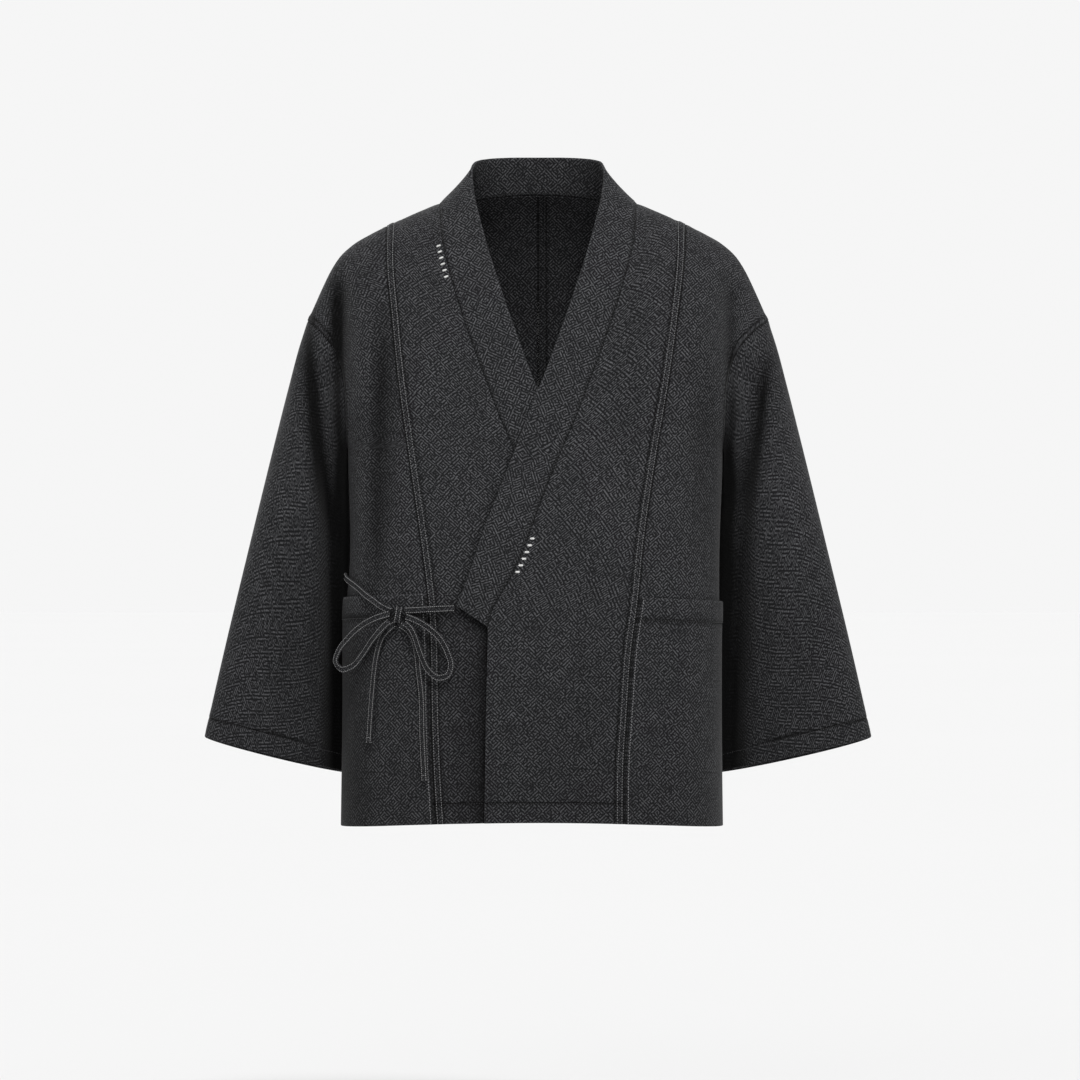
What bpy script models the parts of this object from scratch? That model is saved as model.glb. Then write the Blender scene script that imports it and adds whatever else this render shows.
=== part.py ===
"""A wrap-front kimono jacket in heavy herringbone cloth, filled out as on a wearer, built from the pieces that a
maker cuts and sews: two backs, two fronts with their side panels, two sleeves, one collar band, two patch pockets
and two narrow ties in a bow. The jacket faces -Y, the wearer's left is +X, and the origin is on the shoulder line
at the middle of the neck. Sizes are in millimetres until a mesh is made."""

import bmesh
import bpy
import numpy as np

MM = 0.001

# Driving sizes.
HEM_Z = -732.0
HEM_RISE = 8.0
HEM_DEPTH = 24.0
UNDERARM_Z = -289.0
NECK_X = 116.5
SHOULDER_TIP_X = 272.5
SHOULDER_TIP_Z = -135.0
ARMHOLE_DEPTH = 66.0
CUFF_OUTER_Z = -628.5
CUFF_INNER_Z = -672.0
CUFF_BACK_DROP = 7.0
BACK_NECK_RISE = 35.0
BACK_NECK_CUT = 0.075
CLOTH = 2.0
HEM_CLOTH = 3.4
BAND_PROUD = 1.2
OVERLAP_LIFT = 3.9
SEAM_RIDGE = 0.8
POCKET_GAP = 0.35
POCKET_MOUTH = 2.2
GAP = 0.3
SLEEVE_GAP = 0.8
UNDERARM_EASE = 0.6
BAND_GAP = 0.5
BAND_SPRING = 1.5
BAND_HOLLOW = 2.0
BAND_END_Z = -498.0
BAND_SHARES = np.array([0, 0.05, 0.3, 0.65, 0.95, 1.0])
TIE_DIAMETER = 6.6
TIE_STEP = 6.5
KNOT = (-163.0, -126.0, -482.0)
KNOT_HALVES = (8.5, 6.2, 9.5)

# Body sections below the underarm: half widths to the wearer's right and left, depths to the front and back.
SECTION_COLUMNS = ("z", "right", "left", "front", "back")
SECTIONS = (
    (-732, 231.0, 216.5, 140, 132),
    (-600, 229.0, 215.0, 138, 130),
    (-475, 227.0, 214.5, 134, 127),
    (-425, 223.0, 214.5, 132, 125),
    (-289, 225.0, 219.0, 126, 122),
)

# Corner of the section by height up the chest: a higher power makes a squarer fold beside the armhole.
CORNER_COLUMNS = ("v", "front", "back")
CORNERS = ((-1, 3.0, 2.6), (-0.3, 2.9, 2.6), (0, 3.0, 2.6), (0.35, 4.2, 3.2), (0.7, 4.4, 3.4), (1, 3.0, 3.0))

# Shoulder line from the neck out to the dropped armhole seam.
SHOULDER_COLUMNS = ("x", "z")
SHOULDER = (
    (0, 6.0), (60, 6.0), (100, 5.0), (117, 3.0), (137, -4.7), (169, -19.0), (198, -33.0), (221, -47.0), (236, -61.5),
    (245, -75.5), (256, -98.0), (264, -116.0), (272.5, -135.0),
)

# Sleeve edges: the outer edge by its height, the inner edge by its height on each side.
SLEEVE_OUTER_COLUMNS = ("z", "x")
SLEEVE_OUTER = ((-634, 396.5), (-518, 370.0), (-400, 341.5), (-282, 312.5), (-211, 294.5), (-164, 282.0), (-135, 272.5))
SLEEVE_INNER_COLUMNS = ("z", "right", "left")
SLEEVE_INNER = (
    (-676, 226.0, 211.5), (-560, 224.5, 210.5), (-470, 223.0, 210.5), (-400, 222.0, 212.5), (-350, 224.0, 217.0),
    (-289, 225.3, 219.3),
)
SLEEVE_DEPTH_COLUMNS = ("t", "half_depth", "roundness", "swing")
SLEEVE_DEPTH = ((0, 66, 0.84, 0), (0.16, 71, 0.88, 28), (0.3, 71, 0.93, 46), (0.5, 64, 0.98, 56), (0.8, 52, 1.05, 58), (1, 45, 1.08, 56))

# Seams and edges seen from the front. The wearer's left front lies over the right one.
PANEL_SEAM_COLUMNS = ("z", "right", "left")
PANEL_SEAMS = (
    (-732, -118.0, 99.0), (-656, -122.5, 100.0), (-592, -124.5, 104.0), (-527, -125.5, 108.6), (-464, -128.5, 117.0),
    (-407, -135.5, 122.5), (-302, -150.5, 137.5), (-200, -164.5, 154.5), (-133, -171.5, 164.0), (-77, -177.5, 171.0),
    (-20, -179.0, 174.6),
)
NECK_SEAM_COLUMNS = ("z", "x")
NECK_SEAM = (
    (-497, -58.5), (-479, -54.0), (-442, -33.6), (-414, -20.0), (-349, 4.0), (-294, 26.0), (-243, 48.0), (-216, 58.0),
    (-175, 73.5), (-130, 89.0), (-85, 102.5), (-40, 113.0), (3, 116.5),
)
FRONT_EDGE = ((-732, -62.5), (-603, -60.8), (-509, -58.5))

# Free edge of the collar band, from the middle of the back neck over the shoulder and down to its end.
# Where stand is 1 the band stands up at that y, and where it is 0 it lies on the front.
BAND_EDGE_COLUMNS = ("x", "z", "y", "stand")
BAND_EDGE = (
    (0, 61.0, 47, 1), (38, 60.5, 43, 1), (62, 58, 30, 1), (75, 53, 8, 1), (78.5, 43, -13, 1), (77, 24, -33, 1),
    (73.5, 4, -50, 1), (67, -22, -66, 0.9), (56.5, -60, -88, 0.4), (42, -105, -100, 0), (28, -146, -108, 0),
    (14.5, -184, -114, 0), (1.5, -217, -118, 0), (-23.5, -282, -124, 0), (-47, -342, -128, 0), (-69, -400, -131, 0),
    (-80, -434, -132, 0), (-94.6, -472, -132, 0),
)
BAND_SHOULDER_ROW = 4

# How far the under layer reaches beneath the over front, by height.
UNDER_REACH = ((-732, 66), (-540, 70), (-485, 98), (-442, 86), (-400, 74), (-218, 2), (-107, -42), (0, -76))

# The bow's stretches, routed by hand in front of the wearer's right side and pocket.
TIE_ROUTES = {
    "tie_side_lead": (
        (-227.9, -12, -437.5), (-227.4, -24.7, -439), (-225.2, -42, -441.5), (-220.7, -60.4, -444.7),
        (-210.1, -83.2, -452.1), (-201.6, -97.9, -459.4), (-191.5, -108.2, -466.4), (-183.2, -114.8, -472.5),
        (-171.2, -122.6, -478.2),
    ),
    "tie_side_loop": (
        (-173.0, -129.6, -481), (-187.9, -125, -485.8), (-205.3, -117, -495.1), (-221.4, -108, -509.9),
        (-233.4, -102, -525.9), (-236.4, -99, -537.9), (-229.4, -97.5, -546.3), (-217.4, -98, -543.3),
        (-205.3, -102, -530), (-194.6, -111, -514), (-181.2, -124.5, -497.9), (-172.9, -129, -489.9),
    ),
    "tie_side_tail": (
        (-167.0, -123.6, -493.2), (-174, -119.8, -499.5), (-179.8, -116, -506), (-186.6, -111.5, -523.2),
        (-190.6, -109, -546), (-193.3, -107, -572.8), (-195.5, -106.5, -602), (-197.4, -105.8, -632.5),
    ),
    "tie_front_lead": (
        (-97.3, -135.2, -474.4), (-104.6, -134.2, -474.8), (-117.8, -133, -475.4), (-129.8, -133.5, -476),
        (-143.8, -130.5, -476.8), (-154.2, -127.8, -477.3),
    ),
    "tie_front_loop": (
        (-155.2, -131.5, -491.8), (-148.5, -134.5, -497.5), (-143.7, -136.6, -506), (-139.7, -137.8, -518),
        (-134.4, -137.8, -532.7), (-127.7, -137.3, -546), (-115.6, -137.3, -555.3), (-105, -137.5, -552.7),
        (-101, -137.3, -542), (-105, -137, -526), (-114.3, -137, -509.5), (-127.7, -136.5, -497),
        (-140, -134.8, -489.5), (-153.6, -131.3, -484.3),
    ),
    "tie_front_tail": (
        (-160.5, -125.9, -494.0), (-152, -128.2, -499.5), (-146.4, -129.4, -506.5), (-141.1, -131, -526),
        (-138.4, -132.4, -550), (-135.7, -133.2, -572.8), (-134.5, -134.8, -619.5), (-131.9, -136.6, -675.3),
    ),
}

# Soft folds seen from the front or back: from the top point to the foot, how deep, how wide. A negative depth is a ridge.
FOLD_COLUMNS = ("face", "piece", "top_x", "top_z", "foot_x", "foot_z", "depth", "width")
FOLDS = (
    ("front", "body", -231, -70, -231, -235, 13, 9),
    ("front", "body", 227, -70, 226, -235, 11, 9),
    ("front", "body", -176, -70, -186, -470, 6, 17),
    ("front", "body", -208, -120, -207, -470, -3, 12),
    ("front", "body", 198, -150, 192, -450, 4, 16),
    ("front", "body", 120, -60, 96, -330, 2.5, 20),
    ("front", "body", -80, -500, -86, -760, 4, 16),
    ("front", "body", 60, -480, 52, -760, 3, 26),
    ("front", "sleeve", -277, -140, -238, -430, 17, 12),
    ("front", "sleeve", 276, -140, 232, -400, 16, 12),
    ("front", "sleeve", -300, -330, -290, -640, 3, 22),
    ("front", "sleeve", 330, -360, 318, -640, 3, 22),
    ("back", "body", -231, -80, -229, -260, 12, 10),
    ("back", "body", 228, -80, 225, -260, 12, 10),
    ("back", "body", -150, -70, -172, -520, 6, 20),
    ("back", "body", 158, -70, 164, -560, 6, 20),
    ("back", "body", -52, -330, -66, -760, 5, 24),
    ("back", "body", 70, -300, 60, -760, 4, 22),
    ("back", "sleeve", -278, -150, -240, -440, 15, 13),
    ("back", "sleeve", 277, -150, 236, -420, 15, 13),
    ("back", "sleeve", -322, -340, -300, -640, 4, 22),
    ("back", "sleeve", 312, -340, 304, -640, 4, 22),
)


def column(table, columns, name):
    """One named column of a table, as numbers."""
    return np.array([row[columns.index(name)] for row in table], float)


def through(known, values, at):
    """A smooth curve through the known values, flat past both ends."""
    known, values = np.asarray(known, float), np.asarray(values, float)
    slopes = np.gradient(values, known)
    at = np.clip(at, known[0], known[-1])
    i = np.clip(np.searchsorted(known, at) - 1, 0, len(known) - 2)
    step = known[i + 1] - known[i]
    t = (at - known[i]) / step
    rise = values[i + 1] - values[i]
    cubic = t * t * (3 - 2 * t) * rise
    return values[i] + cubic + step * t * (1 - t) * ((1 - t) * slopes[i] - t * slopes[i + 1])


def smoothstep(t):
    t = np.clip(t, 0, 1)
    return t * t * (3 - 2 * t)


def fold_depth(face, piece, x, z):
    """How far the cloth is drawn in at a place, by the folds of one face of one piece."""
    drawn_in = np.zeros(np.broadcast(x, z).shape)
    for row in FOLDS:
        fold = dict(zip(FOLD_COLUMNS, row))
        if (fold["face"], fold["piece"]) != (face, piece):
            continue
        run_x, run_z = fold["foot_x"] - fold["top_x"], fold["foot_z"] - fold["top_z"]
        length = np.hypot(run_x, run_z)
        along = ((x - fold["top_x"]) * run_x + (z - fold["top_z"]) * run_z) / length**2
        across = ((x - fold["top_x"]) * run_z - (z - fold["top_z"]) * run_x) / length
        ends = smoothstep(along / 0.3) * smoothstep((1.0 - along) / 0.3)
        drawn_in = drawn_in + fold["depth"] * ends * np.exp(-((across / fold["width"]) ** 2))
    return drawn_in


def hem_z(xi):
    return HEM_Z + HEM_RISE * (1 - xi**2)


def shoulder_z(x):
    return through(column(SHOULDER, SHOULDER_COLUMNS, "x"), column(SHOULDER, SHOULDER_COLUMNS, "z"), np.abs(x))


def section(name, v):
    """A column of the body sections at height v, constant above the underarm."""
    z = UNDERARM_Z + np.minimum(v, 0) * (UNDERARM_Z - HEM_Z)
    return through(column(SECTIONS, SECTION_COLUMNS, "z"), column(SECTIONS, SECTION_COLUMNS, name), z)


def corner(name, v):
    return through(column(CORNERS, CORNER_COLUMNS, "v"), column(CORNERS, CORNER_COLUMNS, name), v)


def half_width(xi, v):
    """Half width of the body at height v, widening over the upper arm to the tip of the shoulder."""
    side = np.where(xi < 0, section("right", v), section("left", v))
    return side + (SHOULDER_TIP_X - side) * np.clip(v, 0, 1) ** 4.5


def body_face(face, xi, v):
    """The outer face of the body cloth. xi runs from -1 at the wearer's right side seam or armhole to 1 at the left,
    and v from -1 at the hem over 0 at the underarm to 1 on the shoulder line."""
    xi, v = np.broadcast_arrays(np.asarray(xi, float), np.asarray(v, float))
    across, up = np.clip(np.abs(xi), 0, 1), np.clip(v, 0, 1)
    x = xi * half_width(xi, v)
    top = shoulder_z(across * SHOULDER_TIP_X)
    if face == "back":
        top = top + BACK_NECK_RISE * np.clip(1 - (across * SHOULDER_TIP_X / NECK_X) ** 2, 0, 1)
    z = np.where(v > 0, UNDERARM_Z + up * (top - UNDERARM_Z), UNDERARM_Z + v * (UNDERARM_Z - hem_z(xi)))
    power = corner(face, v)
    over_shoulder = (1 - up**2.2) ** (1 / 2.2)
    chest = section(face, v) * (1 - across**power) ** (1 / power) * over_shoulder
    armhole = ARMHOLE_DEPTH * (4 * up * (1 - up)) ** 0.42 * across**8
    depth = (chest**3 + armhole**3) ** (1 / 3)
    depth = depth - fold_depth(face, "body", x, z) * smoothstep(depth / 30) + GAP / 2
    return np.stack([x, depth if face == "back" else -depth, z], axis=-1)


def over_lift(x, z):
    """How far the over front stands off the base surface, to clear the front and band beneath it."""
    reach = np.interp(z, [row[0] for row in UNDER_REACH], [row[1] for row in UNDER_REACH])
    return OVERLAP_LIFT * smoothstep((reach + 62 - x) / 52)


def over_face(xi, v):
    """The outer face of the over front and its side panel."""
    points = body_face("front", xi, v)
    points[..., 1] -= over_lift(points[..., 0], points[..., 2])
    return points


def under_face(xi, v):
    return body_face("front", xi, v)


def back_face(xi, v):
    return body_face("back", xi, v)


def normals(face, xi, v):
    """Unit normals of a face, away from the body."""
    xi, v = np.broadcast_arrays(np.asarray(xi, float), np.asarray(v, float))
    step = 0.004
    across = face(np.clip(xi + step, -1, 1), v) - face(np.clip(xi - step, -1, 1), v)
    up = face(xi, np.clip(v + step, -1, 1)) - face(xi, np.clip(v - step, -1, 1))
    normal = np.cross(across, up)
    if face is back_face:
        normal = -normal
    return normal / np.linalg.norm(normal, axis=-1, keepdims=True)


def front_place(x, z):
    """The xi and v of the point of the front that is seen at x, z."""
    x, z = np.broadcast_arrays(np.asarray(x, float), np.asarray(z, float))
    xi = x / section("left", 0.0)
    for _ in range(12):
        top = shoulder_z(np.clip(np.abs(xi), 0, 1) * SHOULDER_TIP_X)
        v = np.where(z > UNDERARM_Z, (z - UNDERARM_Z) / (top - UNDERARM_Z), (z - UNDERARM_Z) / (UNDERARM_Z - hem_z(xi)))
        v = np.clip(v, -1, 1)
        xi = np.clip(x / half_width(x, v), -1, 1)
    return xi, v


def arc_map():
    """Known xi and the length along the chest section to each, to space points evenly."""
    xi = np.sin(np.linspace(0, np.pi / 2, 400)) ** 0.8
    points = under_face(xi, np.zeros_like(xi))
    steps = np.linalg.norm(np.diff(points, axis=0), axis=1)
    return xi, np.concatenate([[0], np.cumsum(steps)])


ARC_XI, ARC_LENGTH = arc_map()


def spaced(start, end, share):
    """xi between start and end at shares of the arc between them."""
    def length(xi):
        return np.sign(xi) * np.interp(np.abs(xi), ARC_XI, ARC_LENGTH)
    at = length(start) + (length(end) - length(start)) * share
    return np.sign(at) * np.interp(np.abs(at), ARC_LENGTH, ARC_XI)


def cut(v, line):
    """The xi at which the row v of the front crosses a line x = line(z)."""
    xi = np.linspace(-1, 1, 2001)
    points = under_face(xi, np.full_like(xi, v))
    beyond = points[:, 0] - line(points[:, 2])
    i = int(np.argmax(beyond > 0))
    t = beyond[i - 1] / (beyond[i - 1] - beyond[i])
    return xi[i - 1] + t * (xi[i] - xi[i - 1])


def cuts(line):
    return np.array([cut(v, line) for v in BODY_ROWS])


def panel_seam(side, shift):
    """The line of the seam between a front and its side panel, shifted sideways."""
    z, x = column(PANEL_SEAMS, PANEL_SEAM_COLUMNS, "z"), column(PANEL_SEAMS, PANEL_SEAM_COLUMNS, side)
    return lambda at: through(z, x, at) + shift


def over_edge(z):
    """The over front's inner edge: its free front edge below the collar band, the band's seam above."""
    front = np.interp(z, [row[0] for row in FRONT_EDGE], [row[1] for row in FRONT_EDGE])
    seam = through(column(NECK_SEAM, NECK_SEAM_COLUMNS, "z"), column(NECK_SEAM, NECK_SEAM_COLUMNS, "x"), z)
    return np.where(z < BAND_END_Z, front, seam)


def under_edge(z):
    return -over_edge(z)


def shell(name, outer, inner, material, closed=False):
    """A closed wall between two grids of points with the same rows and columns."""
    rows, columns = outer.shape[:2]
    mesh = bmesh.new()
    verts = [mesh.verts.new(point * MM) for point in np.concatenate([outer.reshape(-1, 3), inner.reshape(-1, 3)])]
    outside = np.arange(rows * columns).reshape(rows, columns)
    inside = outside + rows * columns
    last = columns if closed else columns - 1
    for j in range(rows - 1):
        for i in range(last):
            k = (i + 1) % columns
            falling = np.linalg.norm(outer[j, i] - outer[j + 1, k]) < np.linalg.norm(outer[j, k] - outer[j + 1, i])
            for layer in (outside, inside):
                a, b, c, d = layer[j, i], layer[j, k], layer[j + 1, k], layer[j + 1, i]
                for half in ((a, b, c), (a, c, d)) if falling else ((a, b, d), (b, c, d)):
                    mesh.faces.new([verts[index] for index in half])
    rims = [(outside[row, i], outside[row, (i + 1) % columns], inside[row, (i + 1) % columns], inside[row, i])
            for row in (0, rows - 1) for i in range(last)]
    if not closed:
        rims += [(outside[j, end], outside[j + 1, end], inside[j + 1, end], inside[j, end])
                 for end in (0, columns - 1) for j in range(rows - 1)]
    for rim in rims:
        mesh.faces.new([verts[index] for index in rim])
    bmesh.ops.recalc_face_normals(mesh, faces=mesh.faces)
    return finished(name, mesh, material)


def finished(name, mesh, material):
    """Turns a bmesh into an object, faces out and shaded smooth but for its edges."""
    data = bpy.data.meshes.new(name)
    if mesh.calc_volume(signed=True) < 0:
        bmesh.ops.reverse_faces(mesh, faces=mesh.faces)
    mesh.to_mesh(data)
    mesh.free()
    data.materials.append(material)
    data.shade_smooth()
    data.set_sharp_from_angle(angle=0.9)
    piece = bpy.data.objects.new(name, data)
    bpy.context.scene.collection.objects.link(piece)
    return piece


def cloth_material(name, colour, roughness):
    material = bpy.data.materials.new(name)
    material.use_nodes = True
    shader = material.node_tree.nodes["Principled BSDF"]
    shader.inputs["Base Color"].default_value = (*colour, 1)
    shader.inputs["Roughness"].default_value = roughness
    shader.inputs["Metallic"].default_value = 0
    return material


# Heights of the rows of every body panel, as v. The hem's stitched edge is the second row.
ROWS_BELOW = [(z - UNDERARM_Z) / (UNDERARM_Z - HEM_Z) for z in
              (HEM_Z, HEM_Z + HEM_DEPTH, HEM_Z + HEM_DEPTH + 1.5, -660, -610, -560, -516, -500, -470, -442, -400, -345)]
BODY_ROWS = np.array(ROWS_BELOW + [0, 0.03, 0.1, 0.22, 0.35, 0.48, 0.6, 0.7, 0.79, 0.86, 0.92, 0.965, 1.0])
HEM_ROWS = 2
POCKET_ROWS = 9
BAND_ROWS = 7
ARMHOLE_ROWS = BODY_ROWS[BODY_ROWS >= 0]

# Shares of the columns of a front panel that has the ridge of the felled seam at its end.
RIDGE = 0.085
PANEL_SHARES = np.array([0, 0.12, 0.26, 0.4, 0.54, 0.68, 0.8, 1 - RIDGE - 0.02, 1 - RIDGE, 1])


def body_wall(name, face, xi, v, cloth, ridge=None):
    """A body panel: a wall under its face, thicker at the turned-up hem, kept on its own side of the side seam."""
    normal = normals(face, xi, v)
    outer = face(xi, v)
    thickness = np.full(outer.shape[:2], CLOTH)
    thickness[:HEM_ROWS] = HEM_CLOTH
    inner = outer - thickness[..., None] * normal
    sign = 1 if face is back_face else -1
    inner[..., 1] = sign * np.maximum(sign * inner[..., 1], GAP / 2)
    widest = half_width(np.sign(xi), v) - 0.6 * (v > 0)
    inner[..., 0] = np.clip(inner[..., 0], -widest, widest)
    if ridge is not None:
        outer = outer + SEAM_RIDGE * ridge[None, :, None] * normal
    return shell(name, outer, inner, cloth)


def front_panel(name, face, start, end, ridge_last, cloth):
    """A front panel between two cut lines, with a ridge where its felled panel seam is."""
    share = PANEL_SHARES if ridge_last else 1 - PANEL_SHARES[::-1]
    xi = spaced(start[:, None], end[:, None], share[None, :])
    ridge = share >= 1 - RIDGE - 1e-6 if ridge_last else share <= RIDGE + 1e-6
    v = np.broadcast_to(BODY_ROWS[:, None], xi.shape)
    body_wall(name, face, xi, v, cloth, ridge)
    return xi, v


def fronts(cloth):
    """The two fronts, their side panels and the pockets. The left front lies over the right one at the middle."""
    half = GAP / 2 + 0.05
    rows = np.ones_like(BODY_ROWS)
    left_seam, right_seam = cuts(panel_seam("left", 0)), cuts(panel_seam("right", 0))
    shift = half / section("left", 0.0)
    front_panel("front_left", over_face, cuts(over_edge), left_seam - shift, True, cloth)
    left_side = front_panel("front_left_side", over_face, left_seam + shift, rows, False, cloth)
    front_panel("front_right", under_face, right_seam + shift, cuts(under_edge), False, cloth)
    right_side = front_panel("front_right_side", under_face, -rows, right_seam - shift, True, cloth)
    pocket("pocket_left", over_face, left_side, slice(2, None), (0.21, 0.04), cloth)
    pocket("pocket_right", under_face, right_side, slice(None, -2), (0.18, 0.39), cloth)


def pocket(name, face, panel, columns, rise, cloth):
    """A patch pocket from a side panel's own points moved out, from the felled seam to the side seam and caught in
    the hem below. Its mouth rises by a share of the row above it, from the first column to the last, and bulges."""
    xi, v = (grid[:POCKET_ROWS + 1, columns] for grid in panel)
    points, normal = face(xi, v), normals(face, xi, v)
    along = np.linspace(0, 1, xi.shape[1])
    part = (rise[0] + (rise[1] - rise[0]) * along)[:, None]
    points[-1] = points[-2] + (points[-1] - points[-2]) * part
    normal[-1] = normal[-2]
    up = np.linspace(0, 1, POCKET_ROWS + 1)[:, None] ** 3
    away = POCKET_GAP + POCKET_MOUTH * np.sin(np.pi * along)[None, :] * up
    thickness = np.full_like(away, CLOTH)
    thickness[-2:] += 0.6
    inner = points + away[..., None] * normal
    shell(name, inner + thickness[..., None] * normal, inner, cloth)


def back_top(xi):
    """The height v of the back's upper edge: the shoulder line, cut down in a shallow curve at the neck."""
    return 1 - BACK_NECK_CUT * np.clip(1 - (np.abs(xi) * SHOULDER_TIP_X / NECK_X) ** 2, 0, 1) ** 0.7


NECK_XI = np.linspace(0, NECK_X / SHOULDER_TIP_X, 7)


def back(name, side, cloth):
    """One half of the back, from the centre-back seam to the side seam and armhole."""
    xi = np.concatenate([NECK_XI, spaced(NECK_XI[-1], 1.0, np.linspace(0, 1, 8))[1:]])
    xi[0] = GAP / 2 / SHOULDER_TIP_X
    xi, v = np.broadcast_arrays(side * xi[None, :], BODY_ROWS[:, None])
    body_wall(name, back_face, xi, np.where(v > 0, v * back_top(xi), v), cloth)


def sleeve_line(table, columns, name, at):
    return through(column(table, columns, columns[0]), column(table, columns, name), at)


def sleeve_face(side, phi, t):
    """The outer face of a sleeve. phi runs round it from the outer edge over the front, t from the armhole to the cuff.
    The inner edge swings back, so that it hangs behind the side of the body and not beside it."""
    outer_z = SHOULDER_TIP_Z + t * (CUFF_OUTER_Z - SHOULDER_TIP_Z)
    inner_z = UNDERARM_Z + t * (CUFF_INNER_Z - UNDERARM_Z)
    outer_x = sleeve_line(SLEEVE_OUTER, SLEEVE_OUTER_COLUMNS, "x", outer_z)
    inner_x = sleeve_line(SLEEVE_INNER, SLEEVE_INNER_COLUMNS, "left" if side > 0 else "right", inner_z)
    depth = sleeve_line(SLEEVE_DEPTH, SLEEVE_DEPTH_COLUMNS, "half_depth", t)
    roundness = sleeve_line(SLEEVE_DEPTH, SLEEVE_DEPTH_COLUMNS, "roundness", t)
    up, front = (1 + np.cos(phi)) / 2, np.sin(phi)
    x = side * (inner_x + up * (outer_x - inner_x))
    y = -np.sign(front) * depth * np.abs(front) ** roundness
    swing = sleeve_line(SLEEVE_DEPTH, SLEEVE_DEPTH_COLUMNS, "swing", t) * (1 - up) ** 1.2
    z = inner_z + up * (outer_z - inner_z) - CUFF_BACK_DROP * np.clip(-front, 0, 1) * t**3
    shown = smoothstep((np.abs(y) - 8) / 25)
    y = y + fold_depth("front", "sleeve", x, z) * shown * (front > 1e-6)
    y = y - fold_depth("back", "sleeve", x, z) * shown * (front < -1e-6)
    return np.stack([x, y + swing, z], axis=-1)


def armhole_edge(side, phi):
    """The armhole edge of the body, round from the shoulder tip over the front."""
    up = (1 + np.cos(phi)) / 2
    edge = np.where((np.sin(phi) > 0)[..., None], under_face(side + 0 * up, up), back_face(side + 0 * up, up))
    edge[..., 1] *= np.abs(np.sin(phi)) > 1e-6
    return edge


def sleeve(name, side, cloth):
    """A sleeve: rings from the armhole, where they follow the body's edge, to the turned-up hem at the cuff."""
    front = np.arccos(2 * ARMHOLE_ROWS[::-1] - 1)
    phi = np.concatenate([front, 2 * np.pi - front[-2:0:-1]])[None, :]
    hem_edge = 1 - HEM_DEPTH / 490
    t = np.concatenate([[0, 0.03], np.linspace(0.075, hem_edge, 12), [hem_edge + 0.004, 1]])[:, None]
    outer = sleeve_face(side, phi, t)
    outer = outer + (armhole_edge(side, phi) - outer[:1]) * np.clip(1 - t / 0.22, 0, 1)[..., None] ** 2
    outer[..., 0] += side * UNDERARM_EASE * ((1 - np.cos(phi)) / 2) ** 12 * np.clip(1 - t / 0.15, 0, 1)
    down = outer[1] - outer[0]
    outer[0] += down / np.linalg.norm(down, axis=-1, keepdims=True) * SLEEVE_GAP
    around = np.roll(outer, -1, axis=1) - np.roll(outer, 1, axis=1)
    normal = side * np.cross(around, np.gradient(outer, axis=0))
    normal /= np.linalg.norm(normal, axis=-1, keepdims=True)
    thickness = np.full(outer.shape[:2], CLOTH)
    thickness[-2:] = HEM_CLOTH
    shell(name, outer, outer - thickness[..., None] * normal, cloth, closed=True)


def resampled(points, count):
    """Points at even steps along a smooth line through the given ones."""
    points = np.asarray(points, float)
    along = np.concatenate([[0], np.cumsum(np.linalg.norm(np.diff(points[:, :3], axis=0), axis=1))])
    at = np.linspace(0, along[-1], count)
    return np.stack([through(along, points[:, k], at) for k in range(points.shape[1])], axis=1)


def band_half(side):
    """Half the collar band as a grid: rows from the middle of the back neck to the band's end, columns from its
    seam to its free edge. The under half is the over half's mirror image."""
    face = over_face if side > 0 else under_face
    rows = BODY_ROWS[BAND_ROWS:][::-1]
    xi = np.array([cut(v, over_edge if side > 0 else under_edge) for v in rows])
    seam_back = back_face(side * NECK_XI, back_top(NECK_XI))
    seam_front = face(xi, rows)
    seam_back[-1, 1] = 0
    seam = np.concatenate([seam_back, seam_front[1:]])
    edge = np.array([[side * row[0], row[2], row[1], row[3]] for row in BAND_EDGE], float)
    free = np.concatenate([resampled(edge[:BAND_SHOULDER_ROW + 1], len(seam_back)),
                           resampled(edge[BAND_SHOULDER_ROW:], len(seam_front))[1:]])
    across = (free[:, :3] - seam)[:, None, :]
    share = BAND_SHARES[None, :, None]
    grid = seam[:, None, :] + across * share
    grid[..., 0] -= side * BAND_HOLLOW * free[:, 3:] * 4 * BAND_SHARES * (1 - BAND_SHARES)
    lying = face(*front_place(grid[..., 0], grid[..., 2]))[..., 1] - BAND_SPRING * BAND_SHARES[None, :] * (side > 0)
    stand = free[:, 3:] * np.ones_like(lying)
    stand[len(seam_back):] *= smoothstep(1.2 * BAND_SHARES + stand[len(seam_back):] ** 3)
    grid[..., 1] = grid[..., 1] * stand + lying * (1 - stand)
    first = grid[:, 1] - grid[:, 0]
    grid[:, 0] += first / np.linalg.norm(first, axis=-1, keepdims=True) * BAND_GAP
    return grid


def collar_band(cloth):
    """One long doubled band round the neck, from the under front's end to the over front's."""
    grid = np.concatenate([band_half(-1)[:0:-1], band_half(1)])
    normal = np.cross(np.gradient(grid, axis=1), np.gradient(grid, axis=0))
    normal /= np.linalg.norm(normal, axis=-1, keepdims=True)
    proud = BAND_PROUD * np.minimum(1, 0.25 + np.minimum(BAND_SHARES, 1 - BAND_SHARES) / 0.05)
    return shell("collar_band", grid + proud[None, :, None] * normal, grid - CLOTH * normal, cloth)


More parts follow.
